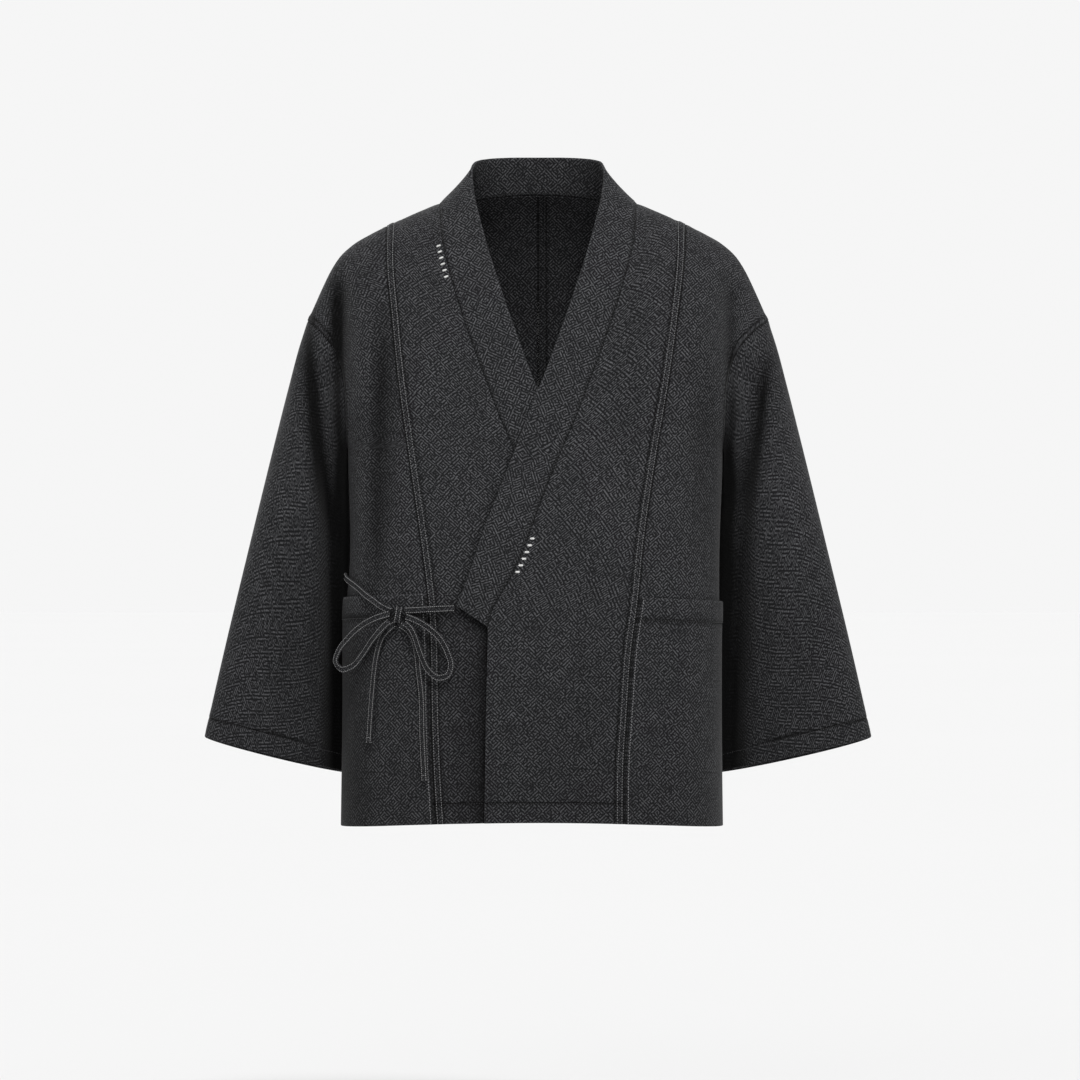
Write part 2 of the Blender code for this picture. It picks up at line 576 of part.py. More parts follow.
def tie(name, route, cloth):
    """A stretch of a tie: a round cord along a smooth curve through its hand-chosen places on the front."""
    points = np.array(route, float)
    length = np.linalg.norm(np.diff(points, axis=0), axis=1).sum()
    points = resampled(points, int(round(length / TIE_STEP)) + 1)
    curve = bpy.data.curves.new(name, "CURVE")
    curve.dimensions = "3D"
    curve.bevel_depth = TIE_DIAMETER / 2 * MM
    curve.bevel_resolution = 3
    curve.use_fill_caps = True
    spline = curve.splines.new("POLY")
    spline.points.add(len(points) - 1)
    for spot, point in zip(spline.points, points):
        spot.co = (*(point * MM), 1)
    curve.materials.append(cloth)
    bpy.context.scene.collection.objects.link(bpy.data.objects.new(name, curve))


def knot(cloth):
    """The bow's knot, a rounded wrap of the tie."""
    mesh = bmesh.new()
    bmesh.ops.create_uvsphere(mesh, u_segments=20, v_segments=12, radius=1)
    for vert in mesh.verts:
        offset = [np.sign(c) * abs(c) ** 0.75 * half for c, half in zip(vert.co, KNOT_HALVES)]
        vert.co = (np.array(KNOT) + offset) * MM
    finished("bow_knot", mesh, cloth)


def main():
    for leftover in list(bpy.data.objects):
        bpy.data.objects.remove(leftover)
    cloth = cloth_material("charcoal_cloth", (0.045, 0.047, 0.05), 0.92)
    fronts(cloth)
    back("back_right", -1, cloth)
    back("back_left", 1, cloth)
    sleeve("sleeve_right", -1, cloth)
    sleeve("sleeve_left", 1, cloth)
    collar_band(cloth)
    for name, route in TIE_ROUTES.items():
        tie(name, route, cloth)
    knot(cloth)


main()
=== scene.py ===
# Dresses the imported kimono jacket: woven cloth panels with felled seams and stitches, folded ties in a bow,
# a pale floor, soft light and the camera of the photograph. Lengths are millimetres until a mesh is made.
import bpy
import numpy as np
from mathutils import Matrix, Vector


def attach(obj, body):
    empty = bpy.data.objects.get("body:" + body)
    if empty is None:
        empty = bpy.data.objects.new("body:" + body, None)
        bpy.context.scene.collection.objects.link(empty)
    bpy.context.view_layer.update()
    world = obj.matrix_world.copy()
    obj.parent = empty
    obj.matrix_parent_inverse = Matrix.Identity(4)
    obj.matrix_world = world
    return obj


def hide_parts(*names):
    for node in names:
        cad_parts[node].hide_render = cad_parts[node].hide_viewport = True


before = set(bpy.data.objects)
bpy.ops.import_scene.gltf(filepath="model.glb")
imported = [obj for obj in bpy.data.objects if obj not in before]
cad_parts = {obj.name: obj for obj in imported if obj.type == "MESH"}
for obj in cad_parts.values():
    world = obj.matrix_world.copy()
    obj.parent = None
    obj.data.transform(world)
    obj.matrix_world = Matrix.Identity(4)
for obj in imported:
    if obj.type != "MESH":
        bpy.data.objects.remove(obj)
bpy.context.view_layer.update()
bpy.ops.object.select_all(action="DESELECT")
scene = bpy.context.scene
mm = 0.001

# camera
view = {"place": (0.00236, -7.03, -0.3953), "lens": 197.7, "sensor": 36}
cameraData = bpy.data.cameras.new("viewCamera")
cameraData.lens, cameraData.sensor_width = view["lens"], view["sensor"]
cameraData.clip_end = 60
camera = bpy.data.objects.new("viewCamera", cameraData)
camera.location, camera.rotation_euler = view["place"], (np.pi / 2, 0, 0)
scene.collection.objects.link(camera)
scene.camera = camera
print("camera ready")


# materials
class Wire:
    # one output of a node; sums and products of wires add Math nodes
    def __init__(self, tree, socket):
        self.tree, self.socket = tree, socket

    def math(self, operation, *terms):
        node = self.tree.nodes.new("ShaderNodeMath")
        node.operation = operation
        for slot, term in zip(node.inputs, terms):
            plug(self.tree, slot, term)
        return Wire(self.tree, node.outputs[0])

    def __add__(self, other):
        return self.math("ADD", self, other)

    def __sub__(self, other):
        return self.math("SUBTRACT", self, other)

    def __rsub__(self, other):
        return self.math("SUBTRACT", other, self)

    def __mul__(self, other):
        return self.math("MULTIPLY", self, other)

    def __rmul__(self, other):
        return self.math("MULTIPLY", other, self)

    def __radd__(self, other):
        return self.math("ADD", other, self)

    def __truediv__(self, other):
        return self.math("DIVIDE", self, other)

    def __mod__(self, other):
        return self.math("FLOORED_MODULO", self, other)

    def floor(self):
        return self.math("FLOOR", self)

    def size(self):
        return self.math("ABSOLUTE", self)

    def clamped(self):
        return self.math("MAXIMUM", self.math("MINIMUM", self, 1.0), 0.0)


def plug(tree, slot, value):
    if isinstance(value, Wire):
        tree.links.new(value.socket, slot)
    else:
        slot.default_value = value


class Finish:
    # a material being built; add() makes any node from its settings and its sockets
    def __init__(self, name, **fixed):
        self.material = bpy.data.materials.new(name)
        self.material.use_nodes = True
        self.tree = self.material.node_tree
        self.shader = self.tree.nodes["Principled BSDF"]
        for socket, value in fixed.items():
            self.shader.inputs[socket.replace("_", " ")].default_value = value

    def add(self, kind, settings=None, output=0, **sockets):
        node = self.tree.nodes.new("ShaderNode" + kind)
        for name, value in (settings or {}).items():
            setattr(node, name, value)
        # a socket is given by its name, or by its number after an underscore
        for name, value in sockets.items():
            key = int(name[1:]) if name[1:].isdigit() else name.replace("_", " ")
            plug(self.tree, node.inputs[key], value)
        return Wire(self.tree, node.outputs[output])

    def feed(self, socket, value):
        plug(self.tree, self.shader.inputs[socket], value)


colourMix = {"data_type": "RGBA"}
weave = {
    "pitch": 3.1, "cellWide": 9.5, "cellTall": 12.0, "stray": 18.0,
    "dark": (0.0095, 0.0096, 0.0106, 1), "light": (0.092, 0.093, 0.098, 1),
    # where a light line starts across its ridge and its flecks, and how quickly it comes in
    "lineFrom": 0.36, "lineGain": 2.7, "fleckFrom": 0.37, "fleckGain": 4.4,
    "wanderScale": 46.0, "fleckScale": 420.0, "slubScale": 60.0,
    # how much a rubbed edge gains and a seam or a place of painted shade loses, and the tone left at the hem
    # by painted shade
    "rubbedPale": 0.16, "hiddenDark": 0.94, "hemShadeTone": 0.62, "shadeFrom": 0.85, "shadeGain": 2.0,
    "relief": 0.0004, "bump": 0.3,
}


def wovenCloth(name, shade=1.0):
    # broken herringbone: fine light diagonals on charcoal whose lean flips in uneven lozenges
    made = Finish(name, Roughness=0.9, Sheen_Weight=0.05, Sheen_Roughness=0.5, Specular_IOR_Level=0.12)
    place = made.add("UVMap", {"uv_map": "weave"})
    flat = {"noise_dimensions": "2D"}
    wander = made.add("TexNoise", flat, 1, Vector=place, Scale=weave["wanderScale"], Detail=1.5)
    parts = [made.add("SeparateXYZ", {}, i, Vector=wander) for i in (0, 1)]
    across = made.add("SeparateXYZ", {}, 0, Vector=place) * (1 / mm)
    along = made.add("SeparateXYZ", {}, 1, Vector=place) * (1 / mm)
    cellAcross = ((across + (parts[0] - 0.5) * weave["stray"]) / weave["cellWide"]).floor()
    cellAlong = ((along + (parts[1] - 0.5) * weave["stray"]) / weave["cellTall"]).floor()
    cell = cellAcross + cellAlong
    lean = (cell % 2.0) * 2.0 - 1.0
    # the lines run at 45 degrees, so their pitch along a row is longer by the root of two
    twill = ((across * lean + along) / (weave["pitch"] * 1.414) + cell * 0.37) % 1.0
    ridge = 1.0 - (twill - 0.5).size() * 2.0
    fleck = made.add("TexNoise", flat, 0, Vector=place, Scale=weave["fleckScale"], Detail=2.0)
    slub = made.add("TexNoise", flat, 0, Vector=place, Scale=weave["slubScale"], Detail=3.0)
    inLine = ((ridge - weave["lineFrom"]) * weave["lineGain"]).clamped()
    inFleck = ((fleck - weave["fleckFrom"]) * weave["fleckGain"]).clamped()
    line = inLine * inFleck * (0.4 + slub * 1.2)
    # the attribute is above 0 where edges rub pale, and below 0 in seams and stitched grooves and in painted
    # shade: in creases, on hidden places and beside the over front
    wornAndShaded = made.add("Attribute", {"attribute_name": "wornAndShaded"}, 2)
    tone = (line * shade + wornAndShaded.clamped() * weave["rubbedPale"]).clamped()
    woven = made.add("Mix", colourMix, 2, _0=tone, _6=weave["dark"], _7=weave["light"])
    # painted shade: the cloth is darkened towards the hem, as if less light reached it there
    height = made.add("SeparateXYZ", {}, 2, Vector=made.add("TexCoord", {}, 3))
    lit = ((height + weave["shadeFrom"]) * weave["shadeGain"]).clamped()
    towardsHemShade = weave["hemShadeTone"] + (1.0 - weave["hemShadeTone"]) * lit
    # painted shade: the colour goes towards black where the attribute is below 0, in seams and in the shade
    # painted in creases, hidden places and beside the over front
    depth = towardsHemShade * (1.0 - (0.0 - wornAndShaded).clamped() * weave["hiddenDark"])
    made.feed("Base Color", made.add("Mix", colourMix, 2, _0=depth, _6=(0, 0, 0, 1), _7=woven))
    made.feed("Roughness", 0.96 - line * 0.14)
    grain = ridge * 0.6 + fleck * 0.4
    bump = made.add("Bump", {}, 0, Strength=weave["bump"], Distance=weave["relief"], Height=grain)
    made.feed("Normal", bump)
    return made.material


def thread(name, colour, roughness):
    # twisted sewing thread, a little uneven in colour
    made = Finish(name, Sheen_Weight=0.2, Specular_IOR_Level=0.3)
    place = made.add("TexCoord", {}, 3)
    uneven = made.add("TexNoise", {}, 0, Vector=place, Scale=700.0, Detail=2.0)
    dim = tuple(c * 0.55 for c in colour[:3]) + (1,)
    share = (uneven * 1.6 - 0.3).clamped()
    made.feed("Base Color", made.add("Mix", colourMix, 2, _0=share, _6=dim, _7=colour))
    made.feed("Roughness", roughness + uneven * 0.2)
    made.feed("Normal", made.add("Bump", {}, 0, Strength=0.4, Distance=0.0002, Height=uneven))
    return made.material


clothFinish = wovenCloth("jacketCloth")
tieFinish = wovenCloth("tieCloth", 0.62)
greyThread = thread("greyThread", (0.3, 0.3, 0.305, 1), 0.6)
paleThread = thread("paleThread", (0.46, 0.46, 0.46, 1), 0.6)
darkThread = thread("darkThread", (0.028, 0.028, 0.03, 1), 0.7)
whiteThread = thread("whiteThread", (0.9, 0.9, 0.88, 1), 0.6)
print("materials ready")


# shared shapes
def smoothStep(t):
    t = np.clip(t, 0, 1)
    return t * t * (3 - 2 * t)


def through(known, values, at):
    # a smooth curve through the known values, flat past both ends
    known, values = np.asarray(known, float), np.asarray(values, float)
    slopes = np.gradient(values, known)
    at = np.clip(at, known[0], known[-1])
    i = np.clip(np.searchsorted(known, at) - 1, 0, len(known) - 2)
    step = known[i + 1] - known[i]
    t = (at - known[i]) / step
    cubic = t * t * (3 - 2 * t) * (values[i + 1] - values[i])
    return values[i] + cubic + step * t * (1 - t) * ((1 - t) * slopes[i] - t * slopes[i + 1])


def resampled(points, count):
    points = np.asarray(points, float)
    along = runLengths(points)
    at = np.linspace(0, along[-1], count)
    return np.stack([through(along, points[:, k], at) for k in range(points.shape[1])], axis=1)


def unit(vectors):
    return vectors / np.maximum(np.linalg.norm(vectors, axis=-1, keepdims=True), 1e-9)


def bell(distance, wide):
    # 1 on a line, and next to nothing at twice this width from it
    return np.exp(-((distance / wide) ** 2))


def runLengths(line):
    # how far each point of a line is along it
    steps = np.linalg.norm(np.diff(line[:, :3], axis=0), axis=1)
    return np.concatenate([[0], np.cumsum(steps)])


def meshPiece(name, points, faces, corners, wornAndShaded, finish, sharp=1.0):
    # a mesh with its weave map, and its wear and painted shade, in metres, riding on the jacket
    data = bpy.data.meshes.new(name)
    data.from_pydata((points * mm).tolist(), [], faces.tolist() if hasattr(faces, "tolist") else faces)
    if corners is not None:
        layer = data.uv_layers.new(name="weave")
        layer.data.foreach_set("uv", (corners * mm).astype(np.float32).ravel())
    if wornAndShaded is not None:
        # this attribute carries pale wear, dark seams and painted shade
        wearAndShade = data.attributes.new("wornAndShaded", "FLOAT", "POINT")
        wearAndShade.data.foreach_set("value", wornAndShaded.astype(np.float32).ravel())
    data.materials.append(finish)
    data.shade_smooth()
    data.set_sharp_from_angle(angle=sharp)
    data.validate()
    piece = bpy.data.objects.new(name, data)
    scene.collection.objects.link(piece)
    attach(piece, "root")
    return piece


def signedVolume(points, quads):
    a, b, c, d = (points[quads[:, k]] for k in range(4))
    return (np.einsum("ij,ij->", a, np.cross(b, c)) + np.einsum("ij,ij->", a, np.cross(c, d))) / 6


def gridLengths(outer, closed=False):
    # how far each point of a grid is along its row and its column, as the flat cloth would be
    ring = np.concatenate([outer, outer[:, :1]], axis=1) if closed else outer
    found = []
    for axis, start in ((1, np.zeros((len(ring), 1))), (0, np.zeros((1, ring.shape[1])))):
        steps = np.linalg.norm(np.diff(ring, axis=axis), axis=2)
        found.append(np.concatenate([start, np.cumsum(steps, axis=axis)], axis=axis))
    return found


def shellPiece(name, outer, inner, grid, wornAndShaded, closed=False):
    # a closed wall of the jacket's cloth between two grids with the same rows and columns
    rows, columns = outer.shape[:2]
    total = rows * columns
    first = np.arange(columns if closed else columns - 1)
    j, i = np.meshgrid(np.arange(rows - 1), first, indexing="ij")
    k = (i + 1) % columns
    low, high = j * columns, (j + 1) * columns
    outside = np.stack([low + i, low + k, high + k, high + i], -1).reshape(-1, 4)
    spots = np.stack([grid[j, i], grid[j, i + 1], grid[j + 1, i + 1], grid[j + 1, i]], axis=-2)
    spots = spots.reshape(-1, 4, 2)
    faces, maps = [outside, outside[:, ::-1] + total], [spots, spots[:, ::-1]]
    # the rims: the first and last row, and on an open grid the first and last column
    rims = []
    for row, turn in ((0, 1), (rows - 1, -1)):
        ends = row * columns + (first + 1) % columns, row * columns + first
        rims.append((*ends, grid[row, first + 1], grid[row, first], turn))
    if not closed:
        down = np.arange(rows - 1)
        for column, turn in ((0, 1), (columns - 1, -1)):
            ends = down * columns + column, (down + 1) * columns + column
            rims.append((*ends, grid[down, column], grid[down + 1, column], turn))
    for a, b, spotA, spotB, turn in rims:
        faces.append(np.stack([a, b, b + total, a + total], -1)[:, ::turn])
        maps.append(np.stack([spotA, spotB, spotB, spotA], axis=1)[:, ::turn])
    faces, maps = np.concatenate(faces), np.concatenate(maps)
    points = np.concatenate([outer.reshape(-1, 3), inner.reshape(-1, 3)])
    if signedVolume(points, faces) < 0:
        faces, maps = faces[:, ::-1], maps[:, ::-1]
    wearAndShade = np.concatenate([wornAndShaded.ravel(), wornAndShaded.ravel()])
    return meshPiece(name, points, faces, maps, wearAndShade, clothFinish)


stitch = {"pitch": 3.0, "long": 2.15, "wide": 0.85, "high": 0.5}
stitchForm = np.array([(-0.5, 0, 0), (-0.3, 1, 0), (-0.3, 0, 1), (-0.3, -1, 0), (-0.3, 0, -1),
                       (0.3, 1, 0), (0.3, 0, 1), (0.3, -1, 0), (0.3, 0, -1), (0.5, 0, 0)], float)
stitchFaces = [(0, 2, 1), (0, 3, 2), (0, 4, 3), (0, 1, 4), (1, 2, 6, 5), (2, 3, 7, 6), (3, 4, 8, 7),
               (4, 1, 5, 8), (9, 5, 6), (9, 6, 7), (9, 7, 8), (9, 8, 5)]


def stitchRow(line, away, form=stitch, sink=0.1):
    # the corners of evenly pitched stitches along a line on the cloth
    along = runLengths(line)
    count = int(along[-1] // form["pitch"])
    middle = (np.arange(count) + 0.5) * along[-1] / max(count, 1)

    def onLine(values, at):
        return np.stack([np.interp(at, along, values[:, k]) for k in range(3)], -1)

    start, end = (onLine(line, middle + reach) for reach in (-form["long"] / 2, form["long"] / 2))
    up = unit(onLine(away, middle))
    run = end - start
    aside = unit(np.cross(up, run))
    base = (start + end) / 2 - sink * up
    lengthwise, sideways, upwards = (stitchForm[None][..., k:k + 1] for k in range(3))
    return (base[:, None] + lengthwise * run[:, None] + sideways * aside[:, None] * form["wide"] / 2
            + upwards * up[:, None] * form["high"])


def stitchPiece(name, rows, finish):
    # all stitches of one seam or panel as one mesh
    corners = len(stitchForm)
    places = np.concatenate([row.reshape(-1, corners, 3) for row in rows])
    faces = [tuple(index + corners * n for index in face) for n in range(len(places)) for face in stitchFaces]
    neverSharp = 3.0
    return meshPiece(name, places.reshape(-1, 3), faces, None, None, finish, neverSharp)


# ties: flat folded straps along the routes of the CAD
tieStitch = {"pitch": 2.4, "long": 1.7, "wide": 0.62, "high": 0.38}
tieEndStitch = {"pitch": 1.6, "long": 1.2, "wide": 0.6, "high": 0.4}
ties = {
    "wide": 7.6, "thick": 2.5, "step": 2.2, "edgeStitch": 2.75, "around": 24, "endDraw": 0.75,
    # the groove between the strap's two rolled edges
    "grooveWide": 1.2, "grooveDeep": 0.45,
    # the strap's flat faces forward, and beside the body it turns to the side: from where, and over how far
    "forward": -90.0, "outward": 0.42, "sideways": 150, "turnX": -196, "turnZ": -475, "turnWide": 34,
    "turnTall": 20,
    "routes": {
        "tie_side_lead": (
            (-227.9, -12, -437.5), (-227.4, -24.7, -439), (-225.2, -42, -441.5), (-220.7, -60.4, -444.7),
            (-210.1, -83.2, -452.1), (-201.6, -97.9, -459.4), (-191.5, -108.2, -466.4),
            (-183.2, -114.8, -472.5), (-171.2, -122.6, -478.2)),
        "tie_side_loop": (
            (-173.0, -129.6, -481), (-187.9, -125, -485.8), (-205.3, -117, -495.1), (-221.4, -108, -509.9),
            (-233.4, -102, -525.9), (-236.4, -99, -537.9), (-229.4, -97.5, -546.3), (-217.4, -98, -543.3),
            (-205.3, -102, -530), (-194.6, -111, -514), (-181.2, -124.5, -497.9), (-172.9, -129, -489.9)),
        "tie_side_tail": (
            (-167.0, -123.6, -493.2), (-174, -119.8, -499.5), (-179.8, -116, -506), (-186.6, -111.5, -523.2),
            (-190.6, -109, -546), (-193.3, -107, -572.8), (-195.5, -106.5, -602), (-197.4, -105.8, -632.5)),
        "tie_front_lead": (
            (-97.3, -135.2, -474.4), (-104.6, -134.2, -474.8), (-117.8, -133, -475.4), (-129.8, -133.5, -476),
            (-143.8, -130.5, -476.8), (-154.2, -127.8, -477.3)),
        "tie_front_loop": (
            (-155.2, -131.5, -491.8), (-148.5, -134.5, -497.5), (-143.7, -136.6, -506),
            (-139.7, -137.8, -518), (-134.4, -137.8, -532.7), (-127.7, -137.3, -546),
            (-115.6, -137.3, -555.3), (-105, -137.5, -552.7), (-101, -137.3, -542), (-105, -137, -526),
            (-114.3, -137, -509.5), (-127.7, -136.5, -497), (-140, -134.8, -489.5), (-153.6, -131.3, -484.3)),
        "tie_front_tail": (
            (-160.5, -125.9, -494.0), (-152, -128.2, -499.5), (-146.4, -129.4, -506.5), (-141.1, -131, -526),
            (-138.4, -132.4, -550), (-135.7, -133.2, -572.8), (-134.5, -134.8, -619.5),
            (-131.9, -136.6, -675.3)),
    },
}


def tieNormals(line):
    # the flat of the strap faces away from the wearer's front, as it lies on it
    forward, level = np.full(len(line), ties["forward"]), np.zeros(len(line))
    out = np.stack([line[:, 0] * ties["outward"], forward, level], -1)
    beside = smoothStep((-line[:, 0] + ties["turnX"]) / ties["turnWide"])
    out[:, 0] -= ties["sideways"] * beside * smoothStep((line[:, 2] - ties["turnZ"]) / ties["turnTall"])
    run = unit(np.gradient(line, axis=0))
    out = out - (out * run).sum(-1, keepdims=True) * run
    return run, unit(out)


def rounded(turn, power):
    # a sine or cosine made squarer, so that the strap's section is flat with round edges
    return np.sign(turn) * np.abs(turn) ** power


def tiePiece(name, route):
    length = np.linalg.norm(np.diff(np.array(route), axis=0), axis=1).sum()
    line = resampled(route, int(round(length / ties["step"])) + 1)
    run, out = tieNormals(line)
    side = np.cross(run, out)
    turns = np.linspace(0, 2 * np.pi, ties["around"], endpoint=False)
    wide = rounded(np.cos(turns), 0.55) * ties["wide"] / 2
    high = rounded(np.sin(turns), 0.6) * ties["thick"] / 2
    high = high * (1 - ties["grooveDeep"] * bell(wide, ties["grooveWide"]))
    swell = 1 + 0.03 * np.sin(np.arange(len(line)) * 0.9)[:, None, None]
    ring = line[:, None] + (side[:, None] * wide[None, :, None] + out[:, None] * high[None, :, None]) * swell
    for end in (0, -1):
        ring[end] = line[end] + (ring[end] - line[end]) * ties["endDraw"]
    rows, columns = ring.shape[:2]
    faces, maps = [], []
    around, along = gridLengths(ring, True)
    for j in range(rows - 1):
        here, beyond = j * columns, (j + 1) * columns
        for i in range(columns):
            k = (i + 1) % columns
            faces.append((here + i, here + k, beyond + k, beyond + i))
            maps += [(around[j, i], along[j, 0]), (around[j, i + 1], along[j, 0]),
                     (around[j + 1, i + 1], along[j + 1, 0]), (around[j + 1, i], along[j + 1, 0])]
    flipped = signedVolume(ring.reshape(-1, 3), np.array(faces)) < 0
    caps = [tuple(range(columns))[::-1], tuple((rows - 1) * columns + i for i in range(columns))]
    for cap, row in zip(caps, (0, rows - 1)):
        maps += [(around[row, corner % columns], along[row, 0]) for corner in cap]
    faces += caps
    if flipped:
        at, turned = 0, []
        for face in faces:
            turned += maps[at:at + len(face)][::-1]
            at += len(face)
        faces, maps = [face[::-1] for face in faces], turned
    wornAndShaded = np.tile(np.abs(wide) > ties["wide"] * 0.47, rows).astype(float) * 0.5
    points = ring.reshape(-1, 3)
    strap = meshPiece(name + "_strap", points, faces, np.array(maps), wornAndShaded, tieFinish)
    top = ties["thick"] / 2
    edges = []
    for away in (out, -out):
        for aside in (-ties["edgeStitch"], ties["edgeStitch"]):
            edges.append(stitchRow(line + away * top * 0.93 + side * aside, away, tieStitch))
    if name.endswith("tail"):
        # a row of stitches across the strap, close to its cut end
        at, reach = -4, np.linspace(-1, 1, 7)[:, None] * ties["wide"] * 0.42
        crossing = line[at] + out[at] * top * 1.02 + side[at] * reach
        edges.append(stitchRow(crossing, np.repeat(out[at][None], len(reach), 0), tieEndStitch))
    sewn = stitchPiece(name + "_stitches", edges, paleThread)
    return strap, sewn, line


knot = {
    "place": (-163.0, -126.0, -482.5), "tall": 8.2, "deep": 5.4, "thick": 2.4, "wide": 8.0, "lean": 1.6,
    "grooveWide": 1.3, "edgeStitch": 2.9, "ring": 0.3,
}


def knotPoint(around, aside, out):
    # a point of the wrap: round the knot, across the strap, out from its middle
    y, z = (knot["deep"] + out) * np.sin(around), (knot["tall"] + out) * np.cos(around)
    x = aside * (1 - 0.12 * np.sin(around) ** 2) + knot["lean"] * np.cos(around)
    return np.stack([x, y, z], -1) + np.array(knot["place"])


def knotPiece():
    # the strap wrapped once round the crossing
    bpy.ops.object.select_all(action="DESELECT")
    bpy.ops.mesh.primitive_torus_add(major_radius=1, minor_radius=knot["ring"], major_segments=40,
                                     minor_segments=14, location=(0, 0, 0), rotation=(0, 0, 0))
    wrap = bpy.context.object
    wrap.name = "bow_wrap"
    for vert in wrap.data.vertices:
        around = np.arctan2(vert.co.y, vert.co.x)
        outward = (np.hypot(vert.co.x, vert.co.y) - 1) / knot["ring"]
        flat = rounded(vert.co.z / knot["ring"], 0.6) * knot["wide"] / 2
        groove = 1 - ties["grooveDeep"] * bell(flat, knot["grooveWide"])
        high = rounded(outward, 0.6) * knot["thick"] / 2 * groove
        vert.co = Vector(knotPoint(around, flat, high)) * mm
    bpy.ops.object.mode_set(mode="EDIT")
    bpy.ops.mesh.select_all(action="SELECT")
    bpy.ops.mesh.normals_make_consistent(inside=False)
    bpy.ops.object.mode_set(mode="OBJECT")
    bpy.ops.object.shade_smooth()
    for layer in list(wrap.data.uv_layers):
        wrap.data.uv_layers.remove(layer)
    flat = wrap.data.uv_layers.new(name="weave")
    for loop in wrap.data.loops:
        spot = wrap.data.vertices[loop.vertex_index].co
        flat.data[loop.index].uv = (spot.x, spot.z)
    wrap.data.materials.clear()
    wrap.data.materials.append(tieFinish)
    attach(wrap, "root")
    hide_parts("bow_knot")
    turns = np.linspace(0, 2 * np.pi, 49)
    edges = []
    for aside in (-knot["edgeStitch"], knot["edgeStitch"]):
        line = knotPoint(turns, aside, knot["thick"] / 2)
        edges.append(stitchRow(line, unit(line - knotPoint(turns, aside, 0.0)), tieStitch))
    return wrap, stitchPiece("bow_wrap_stitches", edges, paleThread)


wrap, wrapSewn = knotPiece()
for name, route in ties["routes"].items():
    strap, sewn, line = tiePiece(name, route)
    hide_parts(name)
    # the knot's wrap is listed with the side tie's stitches, and the list is not used
    along = [sewn, wrap, wrapSewn] if name == "tie_side_lead" else [sewn]
    line[0] * mm
    line * mm

# the body of the jacket, on the same named shapes as the CAD
body = {
    "hemZ": -732.0, "hemRise": 8.0, "hemDeep": 24.0, "underarmZ": -289.0, "neckX": 116.5,
    "shoulderTipX": 272.5, "armholeDeep": 66.0, "backNeckRise": 35.0, "backNeckCut": 0.075,
    "cloth": 2.0, "hemCloth": 3.4, "lift": 3.9,
    "gap": 0.04, "felled": 9.0, "felledHigh": 0.9, "hemTurn": 24.5,
    # z, half width right, half width left, depth front, depth back
    "sections": ((-732, 231.0, 216.5, 140, 132), (-600, 229.0, 215.0, 138, 130),
                 (-475, 227.0, 214.5, 134, 127), (-425, 223.0, 214.5, 132, 125),
                 (-289, 225.0, 219.0, 126, 122)),
    # height up the chest, corner power front, back
    "corners": ((-1, 3.0, 2.6), (-0.3, 2.9, 2.6), (0, 3.0, 2.6), (0.35, 4.2, 3.2), (0.7, 4.4, 3.4),
                (1, 3.0, 3.0)),
    # x, z of the shoulder's line from the neck to its tip
    "shoulder": ((0, 6.0), (60, 6.0), (100, 5.0), (117, 3.0), (137, -4.7), (169, -19.0), (198, -33.0),
                 (221, -47.0), (236, -61.5), (245, -75.5), (256, -98.0), (264, -116.0), (272.5, -135.0)),
    # z, x of the long seam on the right front, x of that on the left front
    "panelSeams": ((-732, -118.0, 99.0), (-656, -122.5, 100.0), (-592, -124.5, 104.0), (-527, -125.5, 108.6),
                   (-464, -128.5, 117.0), (-407, -135.5, 122.5), (-302, -150.5, 137.5), (-200, -164.5, 154.5),
                   (-133, -171.5, 164.0), (-77, -177.5, 171.0), (-20, -179.0, 174.6)),
    # z, x of the line where the band is sewn on, and of the free edge below it
    "neckSeam": ((-497, -58.5), (-479, -54.0), (-442, -33.6), (-414, -20.0), (-349, 4.0), (-294, 26.0),
                 (-243, 48.0), (-216, 58.0), (-175, 73.5), (-130, 89.0), (-85, 102.5), (-40, 113.0),
                 (3, 116.5)),
    "frontEdge": ((-732, -62.5), (-603, -60.8), (-509, -58.5)),
    "bandEndZ": -498.0,
    # the depth over which folds come in from an edge, and that over which the sway does
    "foldBlend": 30, "swayFrom": 20, "swayBlend": 60,
    # how late above the underarm the sides go out to the shoulders' tips, and how full the armhole is
    "sideSweep": 4.5, "armholeFull": 0.42,
    # how far past the right front the left one is still lifted off it, and how gently it comes down
    "liftPast": 62, "liftBlend": 52,
    # z, how far across the right front reaches below the left one
    "underReach": ((-732, 66), (-540, 70), (-485, 98), (-442, 86), (-400, 74), (-218, 2), (-107, -42),
                   (0, -76)),
}
